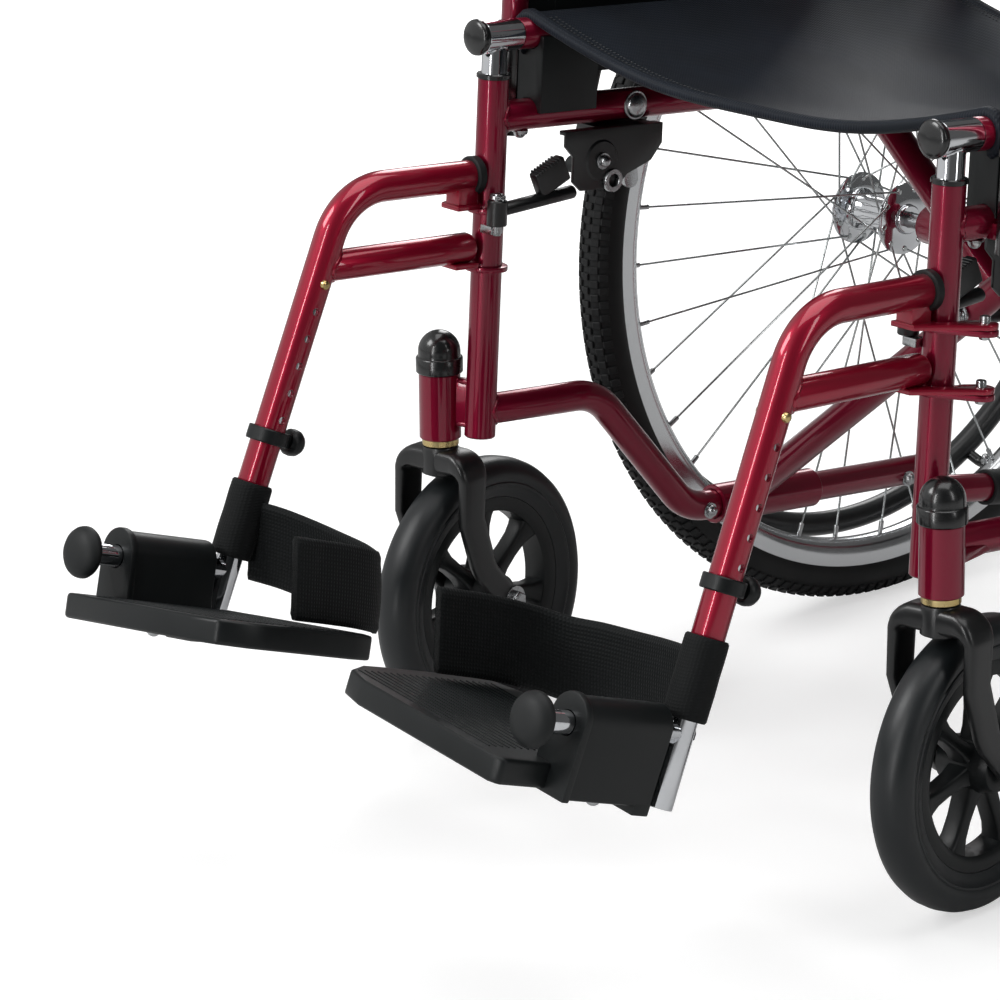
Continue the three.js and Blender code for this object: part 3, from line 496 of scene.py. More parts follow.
def face_outwards(mesh, weld=0):
    """Turns the faces outwards, after welding points that are nearer than weld."""
    work = bmesh.new()
    work.from_mesh(mesh)
    if weld:
        bmesh.ops.remove_doubles(work, verts=work.verts, dist=weld)
    bmesh.ops.recalc_face_normals(work, faces=work.faces)
    work.to_mesh(mesh)
    work.free()


def build(name, parts, space, smooth=35):
    """Makes one mesh from [(shape, material), ...]."""
    materials = list(dict.fromkeys(material for _, material in parts))
    owners = [materials.index(material) for shape, material in parts for _ in shape[1]]
    mesh = mesh_of(name, joined(*[shape for shape, _ in parts]))
    mesh.polygons.foreach_set("material_index", owners)
    for material in materials:
        mesh.materials.append(material)
    face_outwards(mesh, 1e-4)
    mesh.transform(space)
    mesh.shade_smooth()
    mesh.set_sharp_from_angle(angle=math.radians(smooth))
    return placed(name, mesh)


def piece(name, parts, finish, body, stands_for=None, space=CHASSIS, smooth=35):
    """A piece on its body. The finish is its one material, or the slot of parts that name theirs."""
    if finish in SLOT_OF:
        parts = [(shape, finish) for shape in parts]
    made = build(name, parts, space, smooth)
    if stands_for:
        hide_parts(stands_for)
    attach(made, body)
    return made


def fit(name, side, parts, finish, body, stands_for=None, space=CHASSIS, smooth=35):
    """A piece of one side, with the side in its names."""
    stands_for = stands_for and side_name(stands_for, side)
    return piece(side_name(name, side), parts, finish, body, stands_for, space, smooth)


# ---- repeats, as Geometry Nodes trees ----
def repeat_tree(name, around):
    """A tree that copies its input about X (around) or along a step, then makes it plain mesh."""
    tree = bpy.data.node_groups.new(name, "GeometryNodeTree")
    tree.interface.new_socket("Geometry", in_out="INPUT", socket_type="NodeSocketGeometry")
    tree.interface.new_socket("Count", in_out="INPUT", socket_type="NodeSocketInt")
    tree.interface.new_socket("Step", in_out="INPUT", socket_type="NodeSocketVector")
    tree.interface.new_socket("Finish", in_out="INPUT", socket_type="NodeSocketMaterial")
    tree.interface.new_socket("Geometry", in_out="OUTPUT", socket_type="NodeSocketGeometry")
    given = node(tree, "NodeGroupInput").outputs
    index = node(tree, "GeometryNodeInputIndex").outputs[0]
    offset = node(
        tree, "ShaderNodeVectorMath", {"operation": "SCALE"}, {0: given["Step"], "Scale": index}
    ).outputs[0]
    places = {"Count": given["Count"]}
    if not around:
        places["Position"] = offset
    spots = node(tree, "GeometryNodePoints", {"Radius": 0.1}, places).outputs[0]
    copies = {"Points": spots, "Instance": given["Geometry"]}
    if around:
        copies["Rotation"] = node(tree, "FunctionNodeEulerToRotation", links={0: offset}).outputs[0]
    laid = node(tree, "GeometryNodeInstanceOnPoints", links=copies).outputs[0]
    real = node(tree, "GeometryNodeRealizeInstances", links={0: laid}).outputs[0]
    dressed = node(tree, "GeometryNodeSetMaterial", links={"Geometry": real, "Material": given["Finish"]})
    node(tree, "NodeGroupOutput", links={0: dressed.outputs[0]})
    return tree


AROUND = repeat_tree("copies_around_axle", True)
IN_A_ROW = repeat_tree("copies_in_a_row", False)


def settled(holder):
    """The shape that a holder's modifiers give. The holder and its modifiers are removed."""
    view = bpy.context.evaluated_depsgraph_get()
    view.update()
    plain = bpy.data.meshes.new_from_object(holder.evaluated_get(view))
    result = [v.co.copy() for v in plain.vertices], [tuple(p.vertices) for p in plain.polygons]
    holder.modifiers.clear()
    bpy.data.objects.remove(holder)
    bpy.data.meshes.remove(plain)
    return result


def repeated(shape, tree, count, step, material):
    """Runs a repeat tree on a shape and gives the result back as a shape."""
    holder = placed("repeat_seed", mesh_of("repeat_seed", shape))
    modifier = holder.modifiers.new("repeat", "NODES")
    modifier.node_group = tree
    values = {"Count": count, "Step": tuple(step), "Finish": material}
    for socket in tree.interface.items_tree:
        if socket.in_out == "INPUT" and socket.name in values:
            modifier[socket.identifier] = values[socket.name]
    return settled(holder)


def around(shape, count, material):
    return repeated(shape, AROUND, count, (2 * math.pi / count, 0, 0), material)


def in_a_row(shape, count, step, material):
    return repeated(shape, IN_A_ROW, count, step, material)


def bored(shape, cutters):
    """Cuts holes through a shape."""
    whole, tool = [placed("cutting", mesh_of("cutting", s)) for s in (shape, joined(*cutters))]
    for used in (whole, tool):
        face_outwards(used.data)
    modifier = whole.modifiers.new("holes", "BOOLEAN")
    modifier.operation = "DIFFERENCE"
    modifier.solver = "EXACT"
    modifier.object = tool
    result = settled(whole)
    bpy.data.objects.remove(tool)
    return result


# ---- small hardware ----
def dome_bolt(at, out, radius=8, washer=11):
    """A round-headed bolt on a washer, standing out along a direction."""
    disc = [(0, 0), (washer - 0.4, 0), (washer, 0.4), (washer, 1.2), (washer - 0.4, 1.6), (0, 1.6)]
    head = [(0, 1.5), (radius, 1.5), (radius, 2.4), (radius * 0.86, 4.4)]
    head += [(radius * 0.55, 5.8), (radius * 0.2, 6.4), (0, 6.5)]
    return joined(lathe(disc, at, out, 40), lathe(head, at, out, 40))


def hex_bolt(at, out, across=13, height=5.5):
    """A hexagon head on a washer."""
    corner = across * 0.577
    head = [(0, 0), (across * 0.56, 0), (corner, 0.5), (corner, height - 1)]
    head += [(across * 0.5, height), (0, height)]
    disc = [(0, 0), (across * 0.8, 0), (across * 0.8, 1.2), (0, 1.2)]
    return joined(lathe(disc, at, out, 40), eased(lathe(head, at, out, 6), 0.3, 1, 20))


# ---- side frames ----
def in_frame(side, y, z):
    return point(side, HALF_TRACK, y, z)


def cane_path(side):
    top = CANE_Y + (HANDLE_Z - CANE_BEND_Z) * CANE_LEAN
    corners = [(CANE_Y, 120), (CANE_Y, CANE_BEND_Z), (top, HANDLE_Z), (top + 128, HANDLE_Z + 8)]
    return bend([in_frame(side, y, z) for y, z in corners], 42, 14)


def lower_rail_path(side):
    knee = 107.7
    heel = knee + (LOWER_RAIL_FRONT - LOWER_RAIL) * 0.975
    corners = [(0, LOWER_RAIL_FRONT), (knee, LOWER_RAIL_FRONT), (heel, LOWER_RAIL), (CANE_Y, LOWER_RAIL)]
    return bend([in_frame(side, y, z) for y, z in corners], 45, 14)


def tipping_bar(side):
    return in_frame(side, CANE_Y, 130), in_frame(side, CANE_Y + 84, 122)


def side_frame(side):
    body = frame_of(side)
    post = [(0, POST_FOOT), (TUBE - 1, POST_FOOT), (TUBE, POST_FOOT + 1), (TUBE, POST_TOP - 0.8)]
    post += [(TUBE - 0.6, POST_TOP), (9.7, POST_TOP), (9.6, POST_TOP - 1), (9.6, 242), (0, 242)]
    boss = [point(side, HALF_TRACK + x, CANE_Y, AXLE_Z) for x in (-19, 20)]
    painted = [
        lathe(post, in_frame(side, 0, 0), Z, 48),
        rod(in_frame(side, 0, UPPER_RAIL), in_frame(side, CANE_Y, UPPER_RAIL), TUBE),
        tube(lower_rail_path(side), TUBE),
        tube(cane_path(side), TUBE),
        rod(*boss, 15, 40),
        tube(tipping_bar(side), TUBE),
    ]
    for y, z, way in (
        (0, UPPER_RAIL, Y), (0, LOWER_RAIL_FRONT, Y), (CANE_Y, UPPER_RAIL, -Y), (CANE_Y, LOWER_RAIL, -Y),
    ):
        painted.append(weld_bead(in_frame(side, y, z), way, TUBE - 0.5, in_frame(side, y, 0), Z, TUBE))
    # castor housing, upright in the world, with its two webs
    shell = [(0, 224.5), (14, 224.5), (15, 225.4), (15, 272.3), (14.4, 273), (0, 273)]
    housing = V((side * CASTER_X, CASTER_Y, 0))
    painted.append(shifted(lathe(shell, housing, Z, 48), Matrix.Rotation(TILT, 4, "X")))
    reach = CASTER_X - HALF_TRACK
    web = eased(box((-14, -3.4, 236), (14, 3.4, 270)), 1.6, 3)
    turn = Matrix.Rotation(side * math.atan2(-17, reach), 4, "Z")
    painted.append(shifted(web, Matrix.Translation((side * (HALF_TRACK + reach / 2), -8.5, 0)) @ turn))
    for level in (237, 268):
        painted.append(rod(in_frame(side, -6, level), point(side, CASTER_X - 8, -12, level), 2.1, 12))
    gusset = [(HALF_TRACK, 12), (CASTER_X - 2, -14), (CASTER_X + 2, -8)]
    gusset += [(HALF_TRACK + 8, 52), (HALF_TRACK, 52)]
    painted.append(eased(prism(mirrored(gusset, side), 240, 246), 1.4, 2))
    # hinge lugs round the post
    eye = math.degrees(math.atan2(HINGE_BACK, HINGE_OUT))
    lug = arc(HALF_TRACK + HINGE_OUT, HINGE_BACK, 9.4, eye - 90, eye + 90, 12)
    lug += arc(HALF_TRACK, 0, 15.2, eye + 90, eye + 270, 18)
    for level in LUG_LEVELS:
        painted.append(eased(prism(mirrored(lug, side), level, level + 4), 0.9, 2))
    for y in ARM_LEGS:
        low_corner = point(side, HALF_TRACK + 6, y - 8, UPPER_RAIL - 10)
        high_corner = point(side, ARM_X - 4, y + 8, UPPER_RAIL + 1.2)
        painted.append(eased(box(low_corner, high_corner), 1.4, 2))
    fit("frame_tubes", side, painted, candy, body, "side_frame")

    inboard = V((-side, 0, 0))
    bright = []
    for y, z, head in ((124.6, 459.8, 9), (218, 148, 4.4), (424, 146, 4.4)):
        bright.append(dome_bolt(point(side, HALF_TRACK - TUBE + 0.6, y, z), inboard, head, head + 1.6))
    for level in LUG_LEVELS:
        pin = point(side, HALF_TRACK + HINGE_OUT, HINGE_BACK, level)
        bright.append(rod(pin - Z * 3, pin + Z * 13, 3.5, 24, 1.2))
    axle = [point(side, x, CANE_Y, AXLE_Z) for x in (HALF_TRACK - 26, REAR_PLANE + 34)]
    bright.append(rod(*axle, 6, 32))
    bright.append(hex_bolt(boss[0], inboard, 19, 8))
    bright.append(dome_bolt(in_frame(side, 26, UPPER_RAIL - TUBE + 0.4), -Z, 4.5, 6))
    fit("frame_bolts", side, bright, zinc, body)

    socket = [(9.9, 441), (12.2, 441), (12.6, 441.6), (12.6, 504.6)]
    socket += [(14.4, 505), (14.4, 509.6), (13.8, 510.2), (9.9, 510.2)]
    bushes = [lathe(socket, point(side, ARM_X, y, 0), Z, 40, closed=True) for y in ARM_LEGS]
    collar = [(9.25, -6), (11, -6), (11, 0), (12.3, 0.2), (12.3, 2.6), (11.6, 3.4), (9.25, 3.4)]
    bushes.append(lathe(collar, in_frame(side, 0, POST_TOP), Z, 40, closed=True))
    fit("frame_bushes", side, bushes, gloss_mould, body)

    # the bearing ring under the castor housing
    ring = [(8.6, 219.4), (12.2, 219.4), (13.2, 220.2), (13.2, 224.2), (8.6, 224.2)]
    bearing = lathe(ring, housing, Z, 48, closed=True)
    fit("castor_bearing", side, [bearing], yellow_zinc, body, space=GROUND)


def castor_cap(side):
    profile = [(0, 0), (16.4, 0), (16.9, 0.6), (16.9, 10.4), (16.4, 11.2), (15.5, 11.6), (15.3, 12.4)]
    profile += [(15.3, 14)] + dome(15.3, 15, 15.5, 12) + [(0, 30.6)]
    cap = lathe(profile, (side * CASTER_X, CASTER_Y, 273.3), Z, 64)
    fit("castor_cap", side, [cap], gloss_mould, frame_of(side), "caster_cap", GROUND)


def fittings(side):
    """Push grip, tipping tip and seat cradle."""
    body = frame_of(side)
    path = cane_path(side)
    profile = [(11.4, -86), (18.4, -86), (19, -85), (19, -81), (18, -80), (15.4, -79)]
    for k in range(9):
        middle = -73 + k * 8.4
        ridge = [(15.6, -3.4), (16.3, -2.2), (16.3, 2.2), (15.6, 3.4), (15, 4.2)]
        profile += [(r, middle + h) for r, h in ridge]
    profile += [(15.4, 3.6), (14.6, 5.4), (12, 6.2), (0.4, 6.2), (0.4, 0.6), (11.4, 0.6)]
    grip = lathe(profile, path[-1], (path[-1] - path[-2]).normalized(), 48, closed=True)
    fit("push_grip_ribbed", side, [grip], soft_rubber, body, "push_grip")
    root, end = tipping_bar(side)
    profile = [(11.4, -26), (13.2, -26), (14, -25), (14, 2), (12.8, 4.4), (9, 5.2)]
    profile += [(0.4, 5.2), (0.4, 0.6), (11.4, 0.6)]
    tip = lathe(profile, end, (end - root).normalized(), 40, closed=True)
    fit("tipping_cap", side, [tip], soft_rubber, body, "tipping_tip")
    # cradle: a moulded saddle on the upper rail with a groove for the seat rail
    inner, outer = -15.0, 11.4
    shape = [(inner, UPPER_RAIL + 2), (-11.8, UPPER_RAIL + 2)] + arc(0, UPPER_RAIL, 11.5, 168, 18, 14)
    shape += [(outer, UPPER_RAIL + 4), (outer, SEAT_RAIL - 4)]
    shape += arc(0, SEAT_RAIL, 11.7, -20, -176, 14) + [(inner, SEAT_RAIL - 1)]
    rings = [[point(side, HALF_TRACK + x, y, z) for x, z in shape] for y in (32, 84)]
    fit("rail_saddle", side, [eased(loft(rings), 1.1, 2, 40)], nylon_mould, body, "seat_cradle")


# ---- seat rails, guides and braces ----
def seat_rails(side):
    body = "brace_a" if side > 0 else "brace_b"
    parts = [rod(in_frame(side, 19.4, SEAT_RAIL), in_frame(side, 440, SEAT_RAIL), TUBE)]
    parts.append(rod(in_frame(side, -12, SEAT_RAIL), in_frame(side, 24, SEAT_RAIL), 6.4, 20))
    fit("seat_rail_tube", side, parts, candy, body, "seat_rail")
    plug = [(0, 0), (11.3, 0), (11.3, 2), (12.6, 2.2), (12.9, 3), (12.7, 5)]
    plug += dome(12.6, 5, 3.4, 10) + [(0, 8.6)]
    end = lathe(plug, in_frame(side, 439, SEAT_RAIL), Y, 48)
    fit("seat_rail_plug", side, [end], gloss_mould, body)
    guide = "guide_" + word(side)
    head = in_frame(side, 0, SEAT_RAIL)
    collar = [(7, -12.8), (10.6, -12.8), (11.1, -12.2), (11.1, 18.4), (10.6, 19.1), (7, 19.1)]
    parts = [lathe(collar, head, Y, 48, closed=True), rod(in_frame(side, 0, 253), head - Z * 4, 9, 40, 1)]
    parts.append(weld_bead(head, -Z, 8.9, head, Y, TUBE, 1.1))
    fit("guide_tee", side, parts, chrome, guide, "seat_guide")
    front = lathe(plug, in_frame(side, -13.1, SEAT_RAIL), -Y, 64)
    fit("guide_end_plug", side, [front], gloss_mould, guide, "guide_plug")


def braces():
    for name, stands_for, side, y, start, stop in (
        ("brace_a", "brace_front", -1, BRACE_FRONT_Y, 230, 330),
        ("brace_b", "brace_rear", 1, BRACE_REAR_Y, 265, 350),
    ):
        foot, head = in_frame(side, y, LOWER_RAIL), in_frame(-side, y, SEAT_RAIL)
        along = (head - foot).normalized()
        sleeve = [(11.6, start), (14, start), (14.6, start + 0.8)]
        sleeve += [(14.6, stop - 0.8), (14, stop), (11.6, stop)]
        parts = [lathe(sleeve, in_frame(side, 0, LOWER_RAIL), Y, 48, closed=True)]
        parts.append(tube([foot + along * 13, head - along * 10.4], TUBE, 36, 0.2))
        parts.append(weld_bead(foot, along, TUBE - 0.4, foot, Y, 14.6))
        parts.append(weld_bead(head, -along, TUBE - 0.4, head, Y, TUBE))
        piece(name + "_strut", parts, candy, name, stands_for)
    front, rear = [V((0, y, (LOWER_RAIL + SEAT_RAIL) / 2)) for y in (BRACE_FRONT_Y, BRACE_REAR_Y)]
    parts = [rod(front - Y * 16, rear + Y * 20, 4, 24)]
    parts.append(dome_bolt(front - Y * (TUBE + 0.3), -Y, 8.5, 11))
    parts.append(hex_bolt(rear + Y * (TUBE + 0.3), Y, 13, 7))
    piece("brace_pivot_bolt", parts, zinc, "brace_a", "brace_bolt")
    spacer = rod(front + Y * (TUBE + 0.3), rear - Y * (TUBE + 0.3), 9, 32)
    piece("brace_spacer", [spacer], nylon_mould, "brace_a")


# ---- hangers and footrests ----
def in_hanger(side, forward, z):
    return V((side * (HALF_TRACK + forward * math.sin(SPLAY)), -forward * math.cos(SPLAY), z))


ELBOW_Z = ARM_Z - ELBOW * math.tan(math.radians(0.8))


def down_tube(side, distance):
    """A point on the hanger's sloping tube, this far below its elbow."""
    forward = ELBOW + distance * math.sin(HANGER_DROP)
    return in_hanger(side, forward, ELBOW_Z - distance * math.cos(HANGER_DROP))


def down_way(side):
    return (down_tube(side, 1) - down_tube(side, 0)).normalized()


def hanger(side):
    body = side_name("hanger", side)
    path = bend([in_hanger(side, 14, ARM_Z), in_hanger(side, ELBOW, ELBOW_Z), down_tube(side, 250)], 48, 20)
    along = down_way(side)
    outward = V((side * math.cos(SPLAY), math.sin(SPLAY), 0))
    rear = along.cross(outward).normalized()
    if rear.y < 0:
        rear = -rear
    holes = []
    for k in range(1, 6):
        hole = down_tube(side, HEIGHT_HOLE + HOLE_PITCH * k)
        holes.append(rod(hole - outward * 16, hole + outward * 16, 2.8, 20))
    strut = [in_hanger(side, 15, STRUT_Z), in_hanger(side, 146, STRUT_Z - 2.7)]
    painted = [bored(tube(path, TUBE, 40), holes), tube(strut, TUBE - 0.3, 36, 4.5)]
    painted.append(
        weld_bead(strut[1], strut[0] - strut[1], TUBE - 0.8, down_tube(side, 50), along, TUBE)
    )
    ear = [(216, -36), (236, -35), (245, -17)] + arc(HALF_TRACK + HINGE_OUT, HINGE_BACK, 9, -50, 150, 12)
    ear += [(240.4, 8), (239.4, -8), (233, -15.2), (216, -15.2)]
    for level in LUG_LEVELS:
        painted.append(eased(prism(mirrored(ear, side), level + 4.4, level + 8.2), 0.8, 2))
    painted.append(eased(box(point(side, 218, -34, 396.6), point(side, 233, -16, ARM_Z - 4)), 2, 2))
    # the hanger tubes wear the copy of the lacquer painted lighter, as painted light
    fit("hanger_tube", side, painted, painted_lighter_candy, body, "hanger")
    # the sprung button that holds the footrest's height shows on both walls
    button = [(0, 0), (3.6, 0), (3.6, 1.6), (2.8, 3), (1.2, 3.6), (0, 3.7)]
    middle = down_tube(side, HEIGHT_HOLE)
    buttons = [lathe(button, middle + way * (TUBE - 1), way, 28) for way in (outward, -outward)]
    fit("height_button", side, buttons, yellow_zinc, body)
    # the buffer ring between the hanger's arm and the post
    start = in_hanger(side, 15.5, ARM_Z)
    ring = [(0, -3.6), (12.6, -3.6), (13.6, -2.6), (13.6, 2.4), (12.6, 3.6), (0, 3.6)]
    buffer = lathe(ring, start, in_hanger(side, 30, ARM_Z) - start, 48)
    fit("hanger_buffer", side, [buffer], soft_rubber, body)
    # clamp collar with its knob
    ring = [(11.3, -5), (14, -5), (14.6, -4.2), (14.6, 4.2), (14, 5), (11.3, 5)]
    middle = down_tube(side, 177)
    turn = Matrix.Translation(middle) @ Matrix((outward, rear, -along)).transposed().to_4x4()
    parts = [lathe(ring, middle, along, 56, closed=True)]
    parts.append(shifted(eased(box((-5, 10, -5), (5, 19, 5)), 1.2, 2), turn))
    knob = [(0, 15), (4, 15), (4, 16.6), (7.6, 17), (9.2, 18.8)]
    knob += [(9.6, 22), (9, 25.6), (7, 28.4), (3.6, 29.8), (0, 30.1)]
    parts.append(lathe(knob, middle, rear, 48))
    fit("height_clamp", side, parts, nylon_mould, body, "hanger_collar")


def foot_axes(side):
    forward = V((0, -math.cos(FOOT_PITCH), math.sin(FOOT_PITCH)))
    upwards = V((0, math.sin(FOOT_PITCH), math.cos(FOOT_PITCH)))
    return forward, upwards, point(side, HALF_TRACK + FOOT_AXIS_OUT, -FOOT_REACH, FOOT_Z)


def plate_space(side):
    """x inboard along the plate, y rearwards, z up, zero on the hinge line under the bumper."""
    forward, upwards, bumper = foot_axes(side)
    turn = Matrix((V((-side, 0, 0)), -forward, upwards)).transposed().to_4x4()
    return CHASSIS @ Matrix.Translation(bumper) @ turn


def footrest(side):
    body = side_name("footrest", side)
    forward, _, bumper = foot_axes(side)
    parts = [rod(down_tube(side, 60), down_tube(side, 322), 9.3, 36, 1)]
    parts.append(rod(bumper - forward * 125, bumper - forward * 2, 7.6, 32, 1))
    fit("footrest_stem", side, parts, chrome, body, "footrest_tube")
    profile = [(0, 0), (12.6, 0), (16.6, 2.4), (17.8, 4.4), (17.9, 6), (17.4, 8.4), (16, 10.6)]
    profile += [(13.6, 12.6), (10.4, 14.1), (6, 15), (0, 15.3)]
    stop = lathe(profile, bumper - forward * 6.7, forward, 72)
    fit("bumper_dome", side, [stop], soft_rubber, body, "footrest_bumper")


def arched(foot, wide, high, low_y, high_y):
    """A barrel along y: a flat foot outline under a half round top."""
    turns = [math.pi * k / 20 for k in range(21)]
    section = foot + [(wide * math.cos(a), 3 + high * math.sin(a)) for a in turns]
    return loft([[V((x, y, z)) for x, z in section] for y in (low_y, high_y)])


def footplate(side):
    body = side_name("footplate", side)
    front, rear, far = -PLATE_AHEAD, PLATE_LONG - PLATE_AHEAD, PLATE_WIDE
    outline = [(2, front + 4), (9, front), (far - 34, front - 0.5), (far - 12, front + 6)]
    outline += [(far - 1, front + 24), (far, front + 40), (far, rear - 30), (far - 6, rear - 10)]
    outline += [(far - 24, rear), (36, rear), (24, rear - 6), (18, 106), (2, 106)]
    top, under = -PLATE_DROP, -PLATE_DROP - PLATE_THICK
    half = 14.6
    foot = [(-half, under - 1), (half + 1, under - 1), (half + 1, top + 2), (half, top + 6)]
    barrel = arched(foot, half, half + 0.6, 32, 106)
    foot = [(-half - 2, under - 2), (half + 3, under - 2), (half + 3, top + 4)]
    flange = arched(foot, half + 2, half + 2.4, 29, 35)
    wedge = prism([(-half, 92), (half, 92), (half - 4, 106), (-half, 106)], under - 7, under + 2)
    bore = rod((0, 10, 0), (0, 130, 0), 8.2, 32)
    # fine ribs that keep a shoe from sliding
    rib = eased(box((26, front + 10, top - 0.4), (far - 14, front + 11.6, top + 0.7)), 0.4, 1)
    parts = [
        eased(prism(outline, under, top), 3, 3, 40),
        bored(eased(barrel, 2.2, 3, 50), [bore]),
        bored(eased(flange, 1.4, 2, 50), [bore]),
        eased(wedge, 1.2, 2),
        in_a_row(rib, 22, (0, 5.4, 0), nylon_mould),
    ]
    space = plate_space(side) @ Matrix.Rotation(-FOOT_ROLL, 4, "Y")
    fit("footplate_moulding", side, parts, nylon_mould, body, "footplate", space)
    bolt = dome_bolt(V((0, 70, under - 0.6)), -Z, 5, 7)
    fit("footplate_bolt", side, [bolt], zinc, body, space=space)


# ---- cloth ----
def curve_through(line, steps):
    """A smooth curve through every point of a line."""
    curve = []
    for i in range(len(line) - 1):
        a, b, c, d = line[max(i - 1, 0)], line[i], line[i + 1], line[min(i + 2, len(line) - 1)]
        for t in [k / steps for k in range(steps)]:
            square, cube = 2 * a - 5 * b + 4 * c - d, 3 * b - a - 3 * c + d
            curve.append(0.5 * (2 * b + (c - a) * t + square * t * t + cube * t**3))
    return curve + [line[-1]]


def ribbon(name, line, low_z, high_z, thick, side, curl):
    """A standing strap: a rounded band along a line of (x, y, lift), with UVs in metres."""
    path = curve_through([point(side, *p) for p in line], 8)
    high = high_z - low_z
    rows = 14
    heights = [k / rows for k in range(rows + 1)]
    loop = [(h, 1) for h in heights] + [(h, -1) for h in reversed(heights)]
    rings, uvs = [], []
    travelled = 0
    for i, p in enumerate(path):
        along = (path[min(i + 1, len(path) - 1)] - path[max(i - 1, 0)]).normalized()
        off = V((-along.y, along.x, 0))
        if i:
            travelled += (p - path[i - 1]).length
        share = i / (len(path) - 1)
        ring = []
        for height, face in loop:
            edge = min(height, 1 - height)
            swell = thick / 2 * min(1, 0.35 + edge * 9)
            if share > 0.94:
                swell *= 1.9  # the end is folded back and sewn
            selvedge = 0.175 * thick if edge < 0.09 else 0
            bow = curl * math.sin(math.pi * share) * (height - 0.5) ** 2 * 4
            ring.append(V((p.x, p.y, low_z + height * high + p.z)) + off * (face * (swell + selvedge) - bow))
            uvs.append((travelled / 1000, (height * high + (0 if face > 0 else 200)) / 1000))
        rings.append(ring)
    mesh = mesh_of(name, loft(rings))
    layer = mesh.uv_layers.new(name="cloth")
    for corner in mesh.loops:
        layer.data[corner.index].uv = uvs[corner.vertex_index]
    mesh.materials.append(webbing)
    face_outwards(mesh)
    mesh.transform(CHASSIS)
    mesh.shade_smooth()
    return placed(name, mesh)


def heel_loop(side):
    rest = side_name("footrest", side)
    line = [(229, -202, 0), (205, -193, -2), (178, -187, -5), (148, -184, -8), (120, -186, -9)]
    line += [(98, -193, -9), (83, -208, -3), (76, -238, 7), (74, -284, 19)]
    strap = ribbon(side_name("heel_strap", side), line, 151, 208, 3.2, side, 2.5)
    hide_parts(side_name("heel_loop", side))
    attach(strap, rest)
    anchor = CHASSIS @ point(side, 226, -190, 190)
    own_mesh(strap)
    # the sewn pocket that slides on the tube
    profile = [(11.5, 0), (13.4, 0), (14.4, 1.4)]
    profile += [(14.5 + 0.1 * math.sin(k * 1.3), 4 + k * 5) for k in range(10)]
    profile += [(14.4, 51.6), (13.4, 53), (11.5, 53)]
    pocket = lathe(profile, down_tube(side, 211), down_way(side), 48, closed=True)
    fit("heel_strap_pocket", side, [pocket], webbing_round, rest)


def spread(a, b, count):
    return [a + (b - a) * k / (count - 1) for k in range(count)]


def hemmed(low, high, count, gap):
    """Stations along a cloth, crowded where it rolls into its two hems."""
    roll = [0, 1, 2.5, 5, 7.5, 9, HEM]
    middle = spread(low + HEM + gap, high - HEM - gap, count)
    return [low + r for r in roll] + middle + [high - HEM + r for r in roll]


def sling(name, material, columns, along, place):
    """A cloth skin over a grid, thickened evenly and rolled into a hem at both ends.
    place(u, v) gives its middle and normal: u runs from -1 to 1 across, v is a station."""
    across = spread(-1, 1, columns)
    top, under = [], []
    for v in along:
        edge = min(v - along[0], along[-1] - v)
        fat = CLOTH_THICK / 2
        if edge < HEM:
            roundness = max(1 - ((edge - HEM / 2) / (HEM / 2)) ** 2, 0.02)
            fat = max(fat, HEM * 0.46 * math.sqrt(roundness))
        for u in across:
            middle, normal = place(u, v)
            top.append(middle + normal * fat)
            under.append(middle - normal * fat)
    wide, long = len(across), len(along)
    faces = []
    base = len(top)
    for j in range(long - 1):
        for i in range(wide - 1):
            a = j * wide + i
            faces.append((a, a + 1, a + 1 + wide, a + wide))
            faces.append((base + a + wide, base + a + 1 + wide, base + a + 1, base + a))
    rim = list(range(wide)) + [j * wide + wide - 1 for j in range(1, long)]
    rim += [(long - 1) * wide + i for i in range(wide - 2, -1, -1)]
    rim += [j * wide for j in range(long - 2, 0, -1)]
    for k, a in enumerate(rim):
        b = rim[(k + 1) % len(rim)]
        faces.append((a, base + a, base + b, b))
    return build(name, [((top + under, faces), material)], CHASSIS, smooth=60)


def flat_width(columns, v, place):
    """The cloth's length across, wrap included, in metres."""
    run = [place(u, v)[0] for u in spread(-1, 1, columns)]
    return sum((b - a).length for a, b in zip(run, run[1:])) / 1000


def wrap_turn(share):
    """How far the cloth has turned round its tube, from the inner shoulder outwards."""
    return WRAP_START - (share - 1 + WRAP) / WRAP * WRAP_TURN


def seat_place(u, v):
    side, share = 1 if u > 0 else -1, abs(u)
    if share > 1 - WRAP:
        turn = wrap_turn(share)
        normal = V((side * math.cos(turn), 0, math.sin(turn)))
        return in_frame(side, v, SEAT_RAIL) + normal * WRAP_RADIUS, normal
    # between the rails it hangs, and dips further behind its front hem
    part = share / (1 - WRAP)
    x = side * CLOTH_REACH * part
    behind = min(max((v - 30) / 120, 0), 1)
    middle = 495.5 + behind * (0.9 * math.sin(v * 0.05) - 5)
    rise = SEAT_RAIL + CLOTH_RISE - middle
    ripple = 0.9 * math.sin(v * 0.05 + x * 0.012) + 1.1 * math.sin(v * 0.021 - x * 0.03 + 1)
    z = middle + rise * part**2.1 + (1 - part**2) * ripple
    slope = rise * 2.1 * part**1.1 / CLOTH_REACH
    return V((x, v, z)), V((-side * slope, 0, 1)).normalized()


def seat():
    cloth = sling("seat_sling", canvas, 141, hemmed(28, 438, 70, 4), seat_place)
    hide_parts("seat_upholstery")
    flat = flat_width(141, 200, seat_place), 0.41
    ends = CHASSIS @ V((-200, 200, 500)), CHASSIS @ V((200, 200, 500))
    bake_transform(cloth)
    # two rows of stitches behind the front hem and in front of the rear one
    stitch = rod((-1.3, 0, 0), (1.3, 0, 0), 0.45, 6, 0.2)
    stitches = []
    for v in (41, 46, 420, 425):
        for k in range(-58, 59):
            middle, normal = seat_place(k / 58 * 0.88, v)
            stitches.append(shifted(stitch, Matrix.Translation(middle + normal * 1.8)))
    seam = build("seat_stitching", [(joined(*stitches), thread)], CHASSIS, smooth=60)
    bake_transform(seam)


